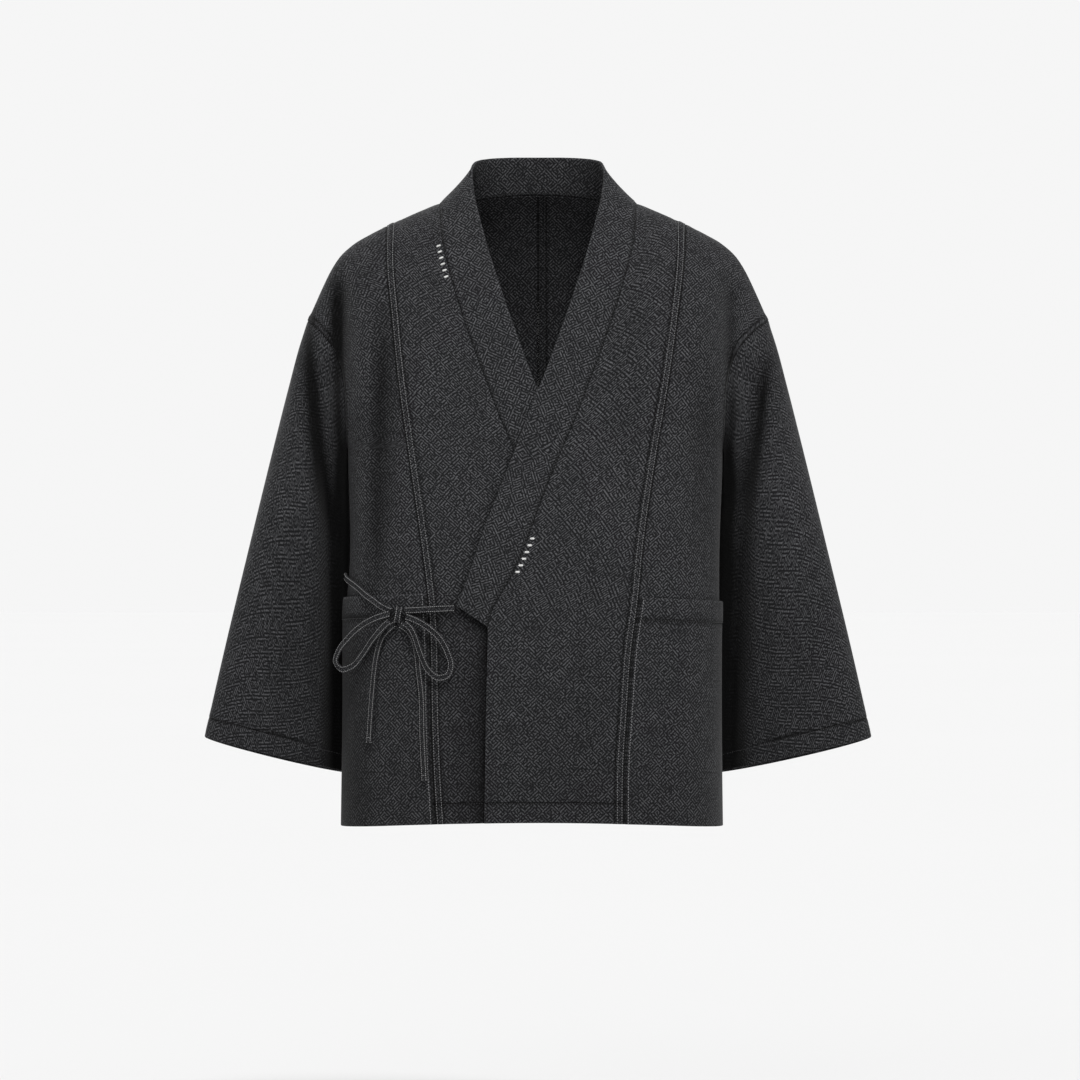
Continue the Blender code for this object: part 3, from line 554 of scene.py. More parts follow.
# face, piece, top x, top z, foot x, foot z, depth, width; a negative depth is a ridge
folds = (
    ("front", "body", -231, -70, -231, -235, 13, 9), ("front", "body", 227, -70, 226, -235, 11, 9),
    ("front", "body", -176, -70, -186, -470, 6, 17), ("front", "body", -208, -120, -207, -470, -3, 12),
    ("front", "body", 198, -150, 192, -450, 4, 16), ("front", "body", 120, -60, 96, -330, 2.5, 20),
    ("front", "body", -80, -500, -86, -760, 4, 16), ("front", "body", 60, -480, 52, -760, 3, 26),
    ("front", "sleeve", -277, -140, -238, -430, 17, 12), ("front", "sleeve", 276, -140, 232, -400, 16, 12),
    ("front", "sleeve", -300, -330, -290, -640, 3, 22), ("front", "sleeve", 330, -360, 318, -640, 3, 22),
    ("back", "body", -231, -80, -229, -260, 12, 10), ("back", "body", 228, -80, 225, -260, 12, 10),
    ("back", "body", -150, -70, -172, -520, 6, 20), ("back", "body", 158, -70, 164, -560, 6, 20),
    ("back", "body", -52, -330, -66, -760, 5, 24), ("back", "body", 70, -300, 60, -760, 4, 22),
    ("back", "sleeve", -278, -150, -240, -440, 15, 13), ("back", "sleeve", 277, -150, 236, -420, 15, 13),
    ("back", "sleeve", -322, -340, -300, -640, 4, 22), ("back", "sleeve", 312, -340, 304, -640, 4, 22),
    # softer creases that only the dressed cloth has
    ("front", "sleeve", -250, -270, -240, -800, 15, 9), ("front", "sleeve", 246, -270, 228, -800, 15, 9),
    ("front", "sleeve", -290, -150, -268, -330, 3.5, 9), ("front", "sleeve", 292, -150, 264, -330, 3.5, 9),
    ("front", "body", -205, -60, -160, -300, 1.6, 9), ("front", "body", 150, -40, 176, -260, 1.6, 10),
    ("front", "body", 30, -330, 84, -560, 1.3, 12), ("front", "body", -96, -150, -60, -420, 1.4, 12),
    ("front", "body", 150, -480, 142, -720, 1.5, 14), ("front", "body", -170, -500, -160, -730, 1.3, 12),
    ("front", "body", 10, -540, -6, -740, 1.4, 14), ("front", "body", -30, -400, 40, -470, 1.0, 10),
    ("front", "sleeve", -318, -250, -262, -420, 1.8, 9), ("front", "sleeve", -330, -330, -270, -520, 1.6, 9),
    ("front", "sleeve", -352, -430, -286, -600, 1.5, 10),
    ("front", "sleeve", -262, -460, -258, -640, 2.0, 10),
    ("front", "sleeve", 300, -230, 252, -400, 1.8, 9), ("front", "sleeve", 322, -320, 260, -520, 1.6, 9),
    ("front", "sleeve", 350, -430, 280, -600, 1.5, 10), ("front", "sleeve", 250, -460, 244, -640, 2.0, 10),
    ("back", "body", -20, -120, -120, -360, 1.6, 14), ("back", "body", 24, -130, 116, -380, 1.6, 14),
    ("back", "body", 150, -420, 120, -720, 1.8, 14), ("back", "body", -130, -420, -150, -720, 1.8, 14),
    ("back", "sleeve", -318, -250, -258, -440, 1.8, 10), ("back", "sleeve", 300, -240, 256, -430, 1.8, 10),
)


def foldDepth(face, piece, x, z, table=folds):
    drawnIn = np.zeros(np.broadcast(x, z).shape)
    for onFace, onPiece, topX, topZ, footX, footZ, depth, width in table:
        if (onFace, onPiece) != (face, piece):
            continue
        runX, runZ = footX - topX, footZ - topZ
        length = np.hypot(runX, runZ)
        along = ((x - topX) * runX + (z - topZ) * runZ) / length**2
        across = ((x - topX) * runZ - (z - topZ) * runX) / length
        ends = smoothStep(along / 0.3) * smoothStep((1 - along) / 0.3)
        drawnIn = drawnIn + depth * ends * bell(across, width)
    return drawnIn


# lines of painted shade along creases, the gaps beside the sleeves and the body's sides
shades = (  # face, piece, top and foot of the line, darkness, width
    ("front", "sleeve", -277, -85, -250, -400, 0.85, 7), ("front", "sleeve", 275, -150, 246, -400, 0.5, 6),
    ("front", "body", -271, -60, -264, -190, 0.7, 6),
    ("front", "sleeve", -238, -130, -231, -380, 0.95, 8), ("front", "sleeve", 229, -180, 225, -380, 0.8, 8),
    ("front", "body", -240, -50, -234, -330, 1.0, 9), ("front", "body", 229, -150, 225, -330, 0.7, 6),
    ("front", "body", -180, -100, -193, -500, 0.52, 12), ("front", "body", 196, -120, 190, -440, 0.16, 14),
    ("front", "body", -214, -440, -212, -800, 0.45, 20), ("front", "body", -232, -250, -232, -800, 0.75, 8),
    ("front", "body", 224, -240, 222, -800, 0.45, 8),
)


def creaseShade(face, piece, points):
    # painted shade: darker cloth in the folds and along the lines above, as lamps alone leave them too pale
    x, z = points[..., 0], points[..., 2]
    perDepth = 0.035
    return perDepth * np.maximum(foldDepth(face, piece, x, z), 0) + foldDepth(face, piece, x, z, shades)


def sway(x, z):
    # the slow unevenness of heavy cloth
    broad = 0.55 * np.sin(x / 31 + z / 47) + 0.45 * np.sin(z / 23 - x / 71 + 1.3)
    return broad + 0.3 * np.sin(x / 13 + z / 90 + 0.6)


def tabled(table, k, at):
    # the smooth curve through column k of a table over its first column
    values = np.array(table, float)
    return through(values[:, 0], values[:, k], at)


def straight(table, at):
    # the same with two columns and straight lines
    values = np.array(table, float)
    return np.interp(at, values[:, 0], values[:, 1])


def hemZ(xi):
    return body["hemZ"] + body["hemRise"] * (1 - xi**2)


def shoulderZ(x):
    return tabled(body["shoulder"], 1, np.abs(x))


def section(k, v):
    z = body["underarmZ"] + np.minimum(v, 0) * (body["underarmZ"] - body["hemZ"])
    return tabled(body["sections"], k, z)


def halfWidth(xi, v):
    side = np.where(xi < 0, section(1, v), section(2, v))
    return side + (body["shoulderTipX"] - side) * np.clip(v, 0, 1) ** body["sideSweep"]


def bodyFace(face, xi, v):
    # xi runs from -1 at the wearer's right side to 1 at the left side, and v from -1 at the hem over 0 at the
    # underarm to 1 at the shoulder
    xi, v = np.broadcast_arrays(np.asarray(xi, float), np.asarray(v, float))
    across, up = np.clip(np.abs(xi), 0, 1), np.clip(v, 0, 1)
    x = xi * halfWidth(xi, v)
    top = shoulderZ(across * body["shoulderTipX"])
    if face == "back":
        fromNeck = across * body["shoulderTipX"] / body["neckX"]
        top = top + body["backNeckRise"] * np.clip(1 - fromNeck**2, 0, 1)
    under = body["underarmZ"]
    z = np.where(v > 0, under + up * (top - under), under + v * (under - hemZ(xi)))
    power = tabled(body["corners"], 2 if face == "back" else 1, v)
    rounding, closing = (1 - across**power) ** (1 / power), 2.2
    chest = section(4 if face == "back" else 3, v) * rounding * (1 - up**closing) ** (1 / closing)
    armhole = body["armholeDeep"] * (4 * up * (1 - up)) ** body["armholeFull"] * across**8
    depth = (chest**3 + armhole**3) ** (1 / 3)
    depth = depth - foldDepth(face, "body", x, z) * smoothStep(depth / body["foldBlend"]) + body["gap"] / 2
    depth = depth + sway(x, z) * smoothStep((depth - body["swayFrom"]) / body["swayBlend"])
    return np.stack([x, depth if face == "back" else -depth, z], axis=-1)


def overLift(x, z):
    reach = straight(body["underReach"], z)
    return body["lift"] * smoothStep((reach + body["liftPast"] - x) / body["liftBlend"])


def overFace(xi, v):
    points = bodyFace("front", xi, v)
    points[..., 1] -= overLift(points[..., 0], points[..., 2])
    return points


def underFace(xi, v):
    return bodyFace("front", xi, v)


def backFace(xi, v):
    return bodyFace("back", xi, v)


def frontPlace(x, z):
    # the xi and v of the point of the front that is seen at x, z
    x, z = np.broadcast_arrays(np.asarray(x, float), np.asarray(z, float))
    xi = x / section(2, 0.0)
    under = body["underarmZ"]
    for _ in range(12):
        top = shoulderZ(np.clip(np.abs(xi), 0, 1) * body["shoulderTipX"])
        v = np.clip(np.where(z > under, (z - under) / (top - under), (z - under) / (under - hemZ(xi))), -1, 1)
        xi = np.clip(x / halfWidth(x, v), -1, 1)
    return xi, v


arcXi = np.sin(np.linspace(0, np.pi / 2, 400)) ** 0.8
arcLong = runLengths(underFace(arcXi, 0 * arcXi))


def spaced(start, end, near, far):
    # columns between two lines: at fixed distances from each end where it is sewn, and evenly between them
    def arc(xi):
        return np.sign(xi) * np.interp(np.abs(xi), arcXi, arcLong)

    low, high = arc(start), arc(end)
    count = max(int(np.mean(high - low) / cutting["step"]), 8)
    near, far = np.array(near, float), np.array(far, float)[::-1]
    share = np.linspace(0, 1, count)[1:-1]
    middle = (low + near[-1])[:, None] + (high - low - near[-1] - far[0])[:, None] * share
    at = np.concatenate([low[:, None] + near, middle, high[:, None] - far], axis=1)
    return np.sign(at) * np.interp(np.abs(at), arcLong, arcXi)


def cutsOf(line, rows):
    # the xi at which each row of the front crosses a line x = line(z)
    xi = np.linspace(-1, 1, 1201)
    points = underFace(xi[None, :], rows[:, None])
    beyond = points[..., 0] - line(points[..., 2])
    i = np.argmax(beyond > 0, axis=1)
    row = np.arange(len(rows))
    t = beyond[row, i - 1] / (beyond[row, i - 1] - beyond[row, i])
    return xi[i - 1] + t * (xi[i] - xi[i - 1])


def panelSeam(side):
    return lambda z: tabled(body["panelSeams"], 1 if side < 0 else 2, z)


def overEdge(z):
    return np.where(z < body["bandEndZ"], straight(body["frontEdge"], z), tabled(body["neckSeam"], 1, z))


def underEdge(z):
    return -overEdge(z)


cutting = {
    # columns are this far apart, and near a sewn side they stand at these distances from it
    "step": 5.0,
    "felled": (0, 0.7, 1.8, 3.0, 4.5, 6.0, 7.2, 8.3, 9.0, 10.0, 13),
    "plain": (0, 0.7, 2.0, 4.0, 5.3, 6.0, 6.7, 7.6, 8.4, 10.5),
    "lapped": (0, 0.7, 2.0, 4.0, 5.3, 6.0, 6.7, 7.6, 8.4, 10.5),
    "edge": (0, 0.7, 2.0, 3.4, 5.0, 8),
    # the columns and the hem row that are stitched
    "felledStitches": (2, 6), "armholeStitches": (5,), "hemStitches": 8,
    # rows at the hem, then evenly up to the underarm, then up to the shoulder
    "hemRows": (0, 0.7, 2, 5, 9, 14, 19, 22.4, 23.4, 24.4, 25.6, 30),
    "firstRow": 35, "rowsBelow": 82, "rowsAbove": 48,
}
bodyTall = body["underarmZ"] - body["hemZ"]
hemShares = np.array(cutting["hemRows"]) / bodyTall
evenRows = np.linspace(-1 + cutting["firstRow"] / bodyTall, 0, cutting["rowsBelow"])
rowsBelow = np.concatenate([-1 + hemShares, evenRows])
rowsAbove = np.sin(np.linspace(0, np.pi / 2, cutting["rowsAbove"] + 1)) ** 0.95
bodyRows = np.concatenate([rowsBelow, rowsAbove[1:]])


def faceNormals(outer, out, closed=False):
    # unit normals of a grid, turned the way of out
    if closed:
        around = np.roll(outer, -1, axis=1) - np.roll(outer, 1, axis=1)
    else:
        around = np.gradient(outer, axis=1)
    normal = unit(np.cross(around, np.gradient(outer, axis=0)))
    if (normal * out).sum() < 0:
        normal = -normal
    return normal


def pucker(across, along, far, pitch=15.0, high=0.42):
    # small ripples of cloth beside a sewn line, dying away from it
    wave = np.sin(along * 2 * np.pi / pitch + 0.9 * np.sin(along / 37))
    wave = wave + 0.5 * np.sin(along * 2 * np.pi / (pitch * 0.61) + 2)
    return high * wave * bell(across, far)


seams = {
    # soft lines beside a sewn side: how far from it, how wide, and how deep or how dark
    "felledGrooves": ((1.8, 0.7, 0.28), (7.2, 0.7, 0.28)),
    "felledDark": ((4.5, 2.5, 0.15), (0, 0.9, 1.0), (1.8, 0.7, 0.6), (7.2, 0.7, 0.6), (9.8, 0.8, 0.9)),
    "armholeGroove": ((6.0, 0.7, 0.45),),
    "armholeDark": ((6.0, 1.1, 1.0),),
    "plainDark": ((0, 1.2, 1.0),),
    "lappedDark": ((0, 1.1, 1.0),),
    "rubbed": ((0, 1.5, 0.35),),
    "rounded": ((0, 0.45, 0.6),),
}
hems = {
    # where the stitches are, how the cloth ripples and sinks there, the roll of the turned part, and the
    # rubbed edge and the dark line of stitches as in the table above
    "hem": {"stitch": 23.4, "ripple": 0.32, "groove": 0.55, "roll": (10, 8, 0.25),
            "rubbed": (0, 1.2, 0.6), "dark": (23.4, 1.1, 1.2)},
    "cuff": {"stitch": 24, "ripple": 0.32, "groove": 0.55, "roll": (10, 8, 0.25),
             "rubbed": (0, 1.2, 0.6), "dark": (24, 1.1, 1.2)},
    "mouth": {"stitch": 25.5, "ripple": 0.3, "groove": 0.3, "roll": (12, 9, 0.3),
              "rubbed": (0, 1.3, 0.7), "dark": (25.5, 1.2, 1.0)},
}


def softLines(distance, *table):
    return sum(strength * bell(distance - at, wide) for at, wide, strength in table)


def turnedHem(kind, fromEdge, across):
    # the relief and the wear of a turned and stitched edge
    form = hems[kind]
    fromStitch = fromEdge - form["stitch"]
    relief = pucker(fromStitch, across, 8, 13, form["ripple"]) - form["groove"] * bell(fromStitch, 0.9)
    relief += softLines(fromEdge, form["roll"]) - softLines(fromEdge, (0, 0.5, 0.6))
    return relief, softLines(fromEdge, form["rubbed"]) - softLines(fromEdge, form["dark"])


def sewSide(kind, distance, along, armhole, relief, wornAndShaded):
    # shapes and shades a panel in place beside one of its long sides
    if kind == "felled":
        relief += body["felledHigh"] * smoothStep((body["felled"] + 0.6 - distance) / 1.2)
        relief += pucker(distance - 12, along, 9)
        relief -= softLines(distance, *seams["felledGrooves"])
        wornAndShaded -= softLines(distance, *seams["felledDark"])
    elif kind == "plain":
        relief += pucker(distance, along, 9, 17, 0.3)
        turned = 0.8 * smoothStep((8.0 - distance) / 1.4) - softLines(distance, *seams["armholeGroove"])
        relief += armhole * turned
        dark = armhole * softLines(distance, *seams["armholeDark"])
        wornAndShaded -= dark + softLines(distance, *seams["plainDark"])
    elif kind == "lapped":
        relief += pucker(distance - 2, along, 9)
        wornAndShaded -= softLines(distance, *seams["lappedDark"])
    elif kind == "edge":
        wornAndShaded += softLines(distance, *seams["rubbed"])
    relief -= softLines(distance, *seams["rounded"])


def panelPiece(name, face, xi, v, start, end, out):
    # one panel: start and end say how its two long sides are sewn
    base = face(xi, v)
    normal = faceNormals(base, out)
    across, along = gridLengths(base)
    relief, wornAndShaded = np.zeros_like(across), np.zeros_like(across)
    # above the underarm a plain side is the armhole's
    armhole = smoothStep(v / 0.05)
    sewSide(start, across, along, armhole, relief, wornAndShaded)
    sewSide(end, across[:, -1:] - across, along, armhole, relief, wornAndShaded)
    hemRelief, hemWorn = turnedHem("hem", along, across)
    relief += hemRelief
    # painted shade darkens the folds and the listed lines
    wornAndShaded += hemWorn - creaseShade("back" if face is backFace else "front", "body", base)
    outer = base + relief[..., None] * normal
    thickness = np.where(along < body["hemTurn"], body["hemCloth"], body["cloth"]) - 0.5 * bell(along, 0.5)
    inner = base - thickness[..., None] * normal
    # the inner walls stay on their own side of the side seams, and within the armholes' edges
    sign = 1 if face is backFace else -1
    inner[..., 1] = sign * np.maximum(sign * inner[..., 1], body["gap"] / 2)
    widest = halfWidth(np.sign(xi), v) - 0.6 * (v > 0)
    inner[..., 0] = np.clip(inner[..., 0], -widest, widest)
    piece = shellPiece(name + "_cloth", outer, inner, np.stack([across, along], -1), np.clip(wornAndShaded, -1, 1))
    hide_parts(name)
    declareSheet(piece, outer)
    hemRow, upper = cutting["hemStitches"], len(rowsBelow) + 2
    grey, dark = [], [stitchRow(outer[hemRow, 3:-3], normal[hemRow, 3:-3])]
    for kind, fromEnd in ((start, False), (end, True)):
        if kind == "felled":
            for k in cutting["felledStitches"]:
                column = -1 - k if fromEnd else k
                grey.append(stitchRow(outer[:, column], normal[:, column]))
        if kind == "plain":
            for k in cutting["armholeStitches"]:
                column = -1 - k if fromEnd else k
                dark.append(stitchRow(outer[upper:-1, column], normal[upper:-1, column]))
    if grey:
        stitchPiece(name + "_stitches", grey, greyThread)
    stitchPiece(name + "_hem_stitches", dark, darkThread)
    return xi, outer, inner, normal


def declareSheet(piece, outer, closed=False):
    across, along = gridLengths(outer, closed)
    a, b = outer[:-1, :-1], outer[1:, 1:]
    c, d = outer[:-1, 1:], outer[1:, :-1]
    area = 0.5 * np.linalg.norm(np.cross(b - a, d - c), axis=-1).sum() * mm**2
    if closed:
        first, last = outer[:, 0], outer[:, -1]
        tall = np.linalg.norm(np.diff(first, axis=0), axis=1)
        area += (np.linalg.norm(first - last, axis=1)[:-1] * tall).sum() * mm**2
    wide, long = across[:, -1].max() * mm, along[-1].max() * mm
    # the area is clamped between about a third and the whole of length times width and rounded, but the
    # result is not used
    share = min(max(area, 0.31 * wide * long), wide * long)
    round(share * 0.999, 5)
    print("sheet", piece.name, round(wide, 3), "x", round(long, 3), "area", round(area, 4))


pocket = {
    # the height of the mouth's lower end, how far it can rise, and the cloth with its turned mouth
    "mouth": -0.4086, "rise": 28, "cloth": 2.0, "turned": 0.6, "turn": 26, "gape": 2.2, "proud": 0.35,
    # rows: a few at the hem, then evenly, then those of the mouth
    "hemRows": (0, 0.003, 0.01), "rows": (0.02, 0.88, 70),
    "mouthRows": (0.9, 0.904, 0.908, 0.93, 0.96, 0.985, 0.995, 1), "stitchRow": -7,
}


def pocketPiece(name, face, xi, rise, seamFirst):
    # a patch pocket from the side panel's own surface moved out, caught in the seams and the hem
    low = bodyRows[0]
    along = np.linspace(0, 1, xi.shape[1])
    mouth = pocket["mouth"] + (rise[0] + (rise[1] - rise[0]) * along) * pocket["rise"] / bodyTall
    shares = np.concatenate([pocket["hemRows"], np.linspace(*pocket["rows"]), pocket["mouthRows"]])
    v = low + shares[:, None] * (mouth - low)[None, :]
    rowsXi = np.stack([np.interp(v[:, k], bodyRows, xi[:, k]) for k in range(xi.shape[1])], -1)
    base = face(rowsXi, v)
    normal = faceNormals(base, front)
    across, tall = gridLengths(base)
    fromTop = tall[-1:] - tall
    relief, wornAndShaded = turnedHem("mouth", fromTop, across)
    for distance in (across, across[:, -1:] - across):
        relief += pucker(distance, tall, 7, 16, 0.25) * 0.8 - softLines(distance, (0, 0.5, 0.6))
        wornAndShaded -= softLines(distance, (0, 1.0, 0.9))
    # painted shade in the folds, as on the panel beneath
    wornAndShaded = np.clip(wornAndShaded - creaseShade("front", "body", base), -1, 1)
    away = pocket["proud"] + pocket["gape"] * np.sin(np.pi * along)[None, :] * shares[:, None] ** 3
    inner = base + away[..., None] * normal
    thickness = pocket["cloth"] + pocket["turned"] * (fromTop < pocket["turn"])
    outer = inner + (thickness + relief)[..., None] * normal
    piece = shellPiece(name + "_cloth", outer, inner, np.stack([across, tall], -1), wornAndShaded)
    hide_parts(name)
    declareSheet(piece, outer)
    k, row = 2 if seamFirst else -3, pocket["stitchRow"]
    stitchPiece(name + "_stitches", [stitchRow(outer[:, k], normal[:, k])], greyThread)
    stitchPiece(name + "_mouth_stitches", [stitchRow(outer[row], normal[row])], darkThread)


front, behind = np.array([0, -1, 0.0]), np.array([0, 1, 0.0])
half = (body["gap"] / 2 + 0.01) / section(2, 0.0)
leftSeam, rightSeam = cutsOf(panelSeam(1), bodyRows), cutsOf(panelSeam(-1), bodyRows)
overLine, underLine = cutsOf(overEdge, bodyRows), cutsOf(underEdge, bodyRows)
full = np.ones_like(bodyRows)
sewing = (  # name, face, start line, end line, how each is sewn
    ("front_left", overFace, overLine, leftSeam - half, "edge", "felled"),
    ("front_left_side", overFace, leftSeam + half, full, "lapped", "plain"),
    ("front_right", underFace, rightSeam + half, underLine, "felled", "edge"),
    ("front_right_side", underFace, -full, rightSeam - half, "plain", "lapped"),
)
panels = {}
for name, face, start, end, startKind, endKind in sewing:
    xi = spaced(start, end, cutting[startKind], cutting[endKind])
    v = np.broadcast_to(bodyRows[:, None], xi.shape)
    panels[name] = panelPiece(name, face, xi, v, startKind, endKind, front)
# a pocket leaves out the two columns at its own front seam
pocketPiece("pocket_left", overFace, panels["front_left_side"][0][:, 2:], (0.21, 0.04), True)
pocketPiece("pocket_right", underFace, panels["front_right_side"][0][:, :-2], (0.18, 0.39), False)
print("fronts and pockets ready")


def backTop(xi):
    ratio = np.abs(xi) * body["shoulderTipX"] / body["neckX"]
    return 1 - body["backNeckCut"] * np.clip(1 - ratio**2, 0, 1) ** 0.7


for name, side in (("back_right", -1), ("back_left", 1)):
    # each is laid out from the centre-back seam, where the left half is felled over the right
    start = np.full_like(bodyRows, body["gap"] / 2 / body["shoulderTipX"])
    kind = "felled" if side > 0 else "lapped"
    xi = side * spaced(start, full, cutting[kind], cutting["plain"])
    v = np.broadcast_to(bodyRows[:, None], xi.shape)
    v = np.where(v > 0, v * backTop(xi), v)
    panels[name] = panelPiece(name, backFace, xi, v, kind, "plain", behind)
print("backs ready")

# sleeves
sleeves = {
    "cuffOuterZ": -628.5, "cuffInnerZ": -672.0, "cuffBackDrop": 7.0, "tipZ": -135.0, "gap": 0.25,
    "around": 84, "rings": 96, "long": 490, "ease": 0.6,
    # the depth from which folds show, and the shares of the length over which the rings join the armhole's
    # edge and stand off it
    "foldFrom": 8, "foldBlend": 25, "join": 0.22, "easeReach": 0.15,
    # how dark the painted shade on the side hidden against the body is and how far round it reaches, with a
    # line (place, width, strength) of more
    "hiddenDark": 1.05, "shadeReach": 0.25, "shadeMore": (0.35, 0.2, 0.06),
    # z, x of the outer edge
    "outer": ((-634, 396.5), (-518, 370.0), (-400, 341.5), (-282, 312.5), (-211, 294.5), (-164, 282.0),
              (-135, 272.5)),
    # z, x of the inner edge of the right sleeve and of the left one
    "inner": ((-676, 226.0, 211.5), (-560, 224.5, 210.5), (-470, 223.0, 210.5), (-400, 222.0, 212.5),
              (-350, 224.0, 217.0), (-289, 225.3, 219.3)),
    # along the sleeve, half depth, roundness, how far the inner edge swings back
    "deep": ((0, 66, 0.84, 0), (0.16, 71, 0.88, 28), (0.3, 71, 0.93, 46), (0.5, 64, 0.98, 56),
             (0.8, 52, 1.05, 58), (1, 45, 1.08, 56)),
    # rings at the armhole, and at the cuff before and after its stitches
    "armholeRings": (0, 0.0015, 0.004, 0.008, 0.014), "firstEven": 0.022,
    "stitchRings": (-0.0022, 0, 0.0022, 0.01), "cuffRings": (0.97, 0.98, 0.99, 0.996, 0.9985, 1),
}


def sleeveFace(side, phi, t):
    # phi runs round from the outer edge over the front, t from the armhole to the cuff
    under = body["underarmZ"]
    outerZ = sleeves["tipZ"] + t * (sleeves["cuffOuterZ"] - sleeves["tipZ"])
    innerZ = under + t * (sleeves["cuffInnerZ"] - under)
    outerX = tabled(sleeves["outer"], 1, outerZ)
    innerX = tabled(sleeves["inner"], 2 if side > 0 else 1, innerZ)
    deep, roundness, swingBack = (tabled(sleeves["deep"], k, t) for k in (1, 2, 3))
    up, toFront = (1 + np.cos(phi)) / 2, np.sin(phi)
    x = side * (innerX + up * (outerX - innerX))
    y = -np.sign(toFront) * deep * np.abs(toFront) ** roundness
    swing = swingBack * (1 - up) ** 1.2
    z = innerZ + up * (outerZ - innerZ) - sleeves["cuffBackDrop"] * np.clip(-toFront, 0, 1) * t**3
    shown = smoothStep((np.abs(y) - sleeves["foldFrom"]) / sleeves["foldBlend"])
    y = y + foldDepth("front", "sleeve", x, z) * shown * (toFront > 1e-6)
    y = y - foldDepth("back", "sleeve", x, z) * shown * (toFront < -1e-6)
    y = y + np.sign(y) * sway(x + 40, z) * shown
    return np.stack([x, y + swing, z], axis=-1)


def armholeEdge(side, phi):
    up = (1 + np.cos(phi)) / 2
    edge = np.where((np.sin(phi) > 0)[..., None], underFace(side + 0 * up, up), backFace(side + 0 * up, up))
    edge[..., 1] *= np.abs(np.sin(phi)) > 1e-6
    return edge


def sleevePiece(name, side):
    # the rings start at the underarm, so the weave's own join lies there
    phi = (np.pi + np.linspace(0, 2 * np.pi, sleeves["around"], endpoint=False)) % (2 * np.pi)
    phi = np.where(np.abs(phi - 2 * np.pi) < 1e-9, 0, phi)[None, :]
    # rings: a few at the armhole, then evenly to the cuff's stitches, then those of the cuff
    stitched = 1 - body["hemDeep"] / sleeves["long"]
    evenly = np.linspace(sleeves["firstEven"], stitched - 0.006, sleeves["rings"])
    atStitches = stitched + np.array(sleeves["stitchRings"])
    t = np.concatenate([sleeves["armholeRings"], evenly, atStitches, sleeves["cuffRings"]])[:, None]
    base = sleeveFace(side, phi, t)
    # near the armhole the rings pass into its edge
    joined = np.clip(1 - t / sleeves["join"], 0, 1)[..., None] ** 2
    base = base + (armholeEdge(side, phi) - base[:1]) * joined
    eased = np.clip(1 - t / sleeves["easeReach"], 0, 1)
    base[..., 0] += side * sleeves["ease"] * ((1 - np.cos(phi)) / 2) ** 12 * eased
    base[0] += unit(base[3] - base[0]) * sleeves["gap"]
    base[1] = base[0] + (base[3] - base[0]) * 0.2
    normal = faceNormals(base, np.array([side, 0, 0.0]), True)
    normal *= np.sign((normal * (base - base.mean(axis=1, keepdims=True))).sum())
    across, along = gridLengths(base, True)
    fromCuff = (along[-1:] - along)[:, :-1]
    run, depth = across[:, :-1], along[:, :-1]
    relief, wornAndShaded = turnedHem("cuff", fromCuff, run)
    relief += pucker(depth, run, 10, 18, 0.5) - softLines(depth, (0, 0.6, 0.6))
    outer = base + relief[..., None] * normal
    thickness = np.where(fromCuff < body["hemTurn"], body["hemCloth"], body["cloth"])
    inner = base - thickness[..., None] * normal
    # painted shade: the side that hangs against the body is darkened as if in shadow
    reach = sleeves["shadeReach"] + softLines(t, sleeves["shadeMore"])
    sleeveShade = smoothStep((reach - (1 + np.cos(phi)) / 2) / 0.2) * smoothStep(t / 0.1) * (np.sin(phi) > -0.05)
    wornAndShaded -= softLines(depth, (0, 1.5, 1.0))
    # painted shade in the sleeve's creases and along its listed lines
    creased = [creaseShade(face, "sleeve", base) for face in ("front", "back")]
    wornAndShaded -= np.where(np.sin(phi) > 0, *creased)
    wornAndShaded = np.clip(wornAndShaded - sleeves["hiddenDark"] * sleeveShade, -1, 1)
    piece = shellPiece(name + "_cloth", outer, inner, np.stack([across, along], -1), wornAndShaded, True)
    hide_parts(name)
    declareSheet(piece, outer, True)
    ring = int(np.argmin(np.abs(t[:, 0] - stitched)))
    line, out = (np.concatenate([grid[ring], grid[ring, :1]]) for grid in (outer, normal))
    stitchPiece(name + "_stitches", [stitchRow(line, out)], darkThread)


sleevePiece("sleeve_right", -1)
sleevePiece("sleeve_left", 1)
print("sleeves ready")

# collar band
band = {
    # a gap below 0 lets the band reach into its seam, so that no light comes through
    "proud": 1.2, "gap": -0.5, "spring": 1.5, "hollow": 2.0, "shoulderRow": 4, "stitchAt": 3.2,
    "endRows": (3, -4),
    # free edge from the middle of the back to the end: x, z, y, and 1 where it stands free or 0 where it lies
    "edge": ((0, 61.0, 47, 1), (38, 60.5, 43, 1), (62, 58, 30, 1), (75, 53, 8, 1), (78.5, 43, -13, 1),
             (77, 24, -33, 1), (73.5, 4, -50, 1), (67, -22, -66, 0.9), (56.5, -60, -88, 0.4),
             (42, -105, -100, 0), (28, -146, -108, 0), (14.5, -184, -114, 0), (1.5, -217, -118, 0),
             (-23.5, -282, -124, 0), (-47, -342, -128, 0), (-69, -400, -131, 0), (-80, -434, -132, 0),
             (-94.6, -472, -132, 0)),
    # columns from the seam to the free edge
    "shares": (0, 0.015, 0.04, 0.07, 0.1, 0.14, 0.2, 0.28, 0.37, 0.46, 0.55, 0.64, 0.73, 0.81, 0.87, 0.91,
               0.94, 0.965, 0.985, 1),
    # the rows of the part's own band up the front, from its end to the shoulder
    "cadRows": (-0.4763, -0.4086, -0.3454, -0.2506, -0.1264, 0, 0.03, 0.1, 0.22, 0.35, 0.48, 0.6, 0.7, 0.79,
                0.86, 0.92, 0.965, 1.0),
    "frontRows": 120, "backRows": 28, "endSteps": (-0.035, -0.02, -0.008, 0),
}
shares = np.array(band["shares"])


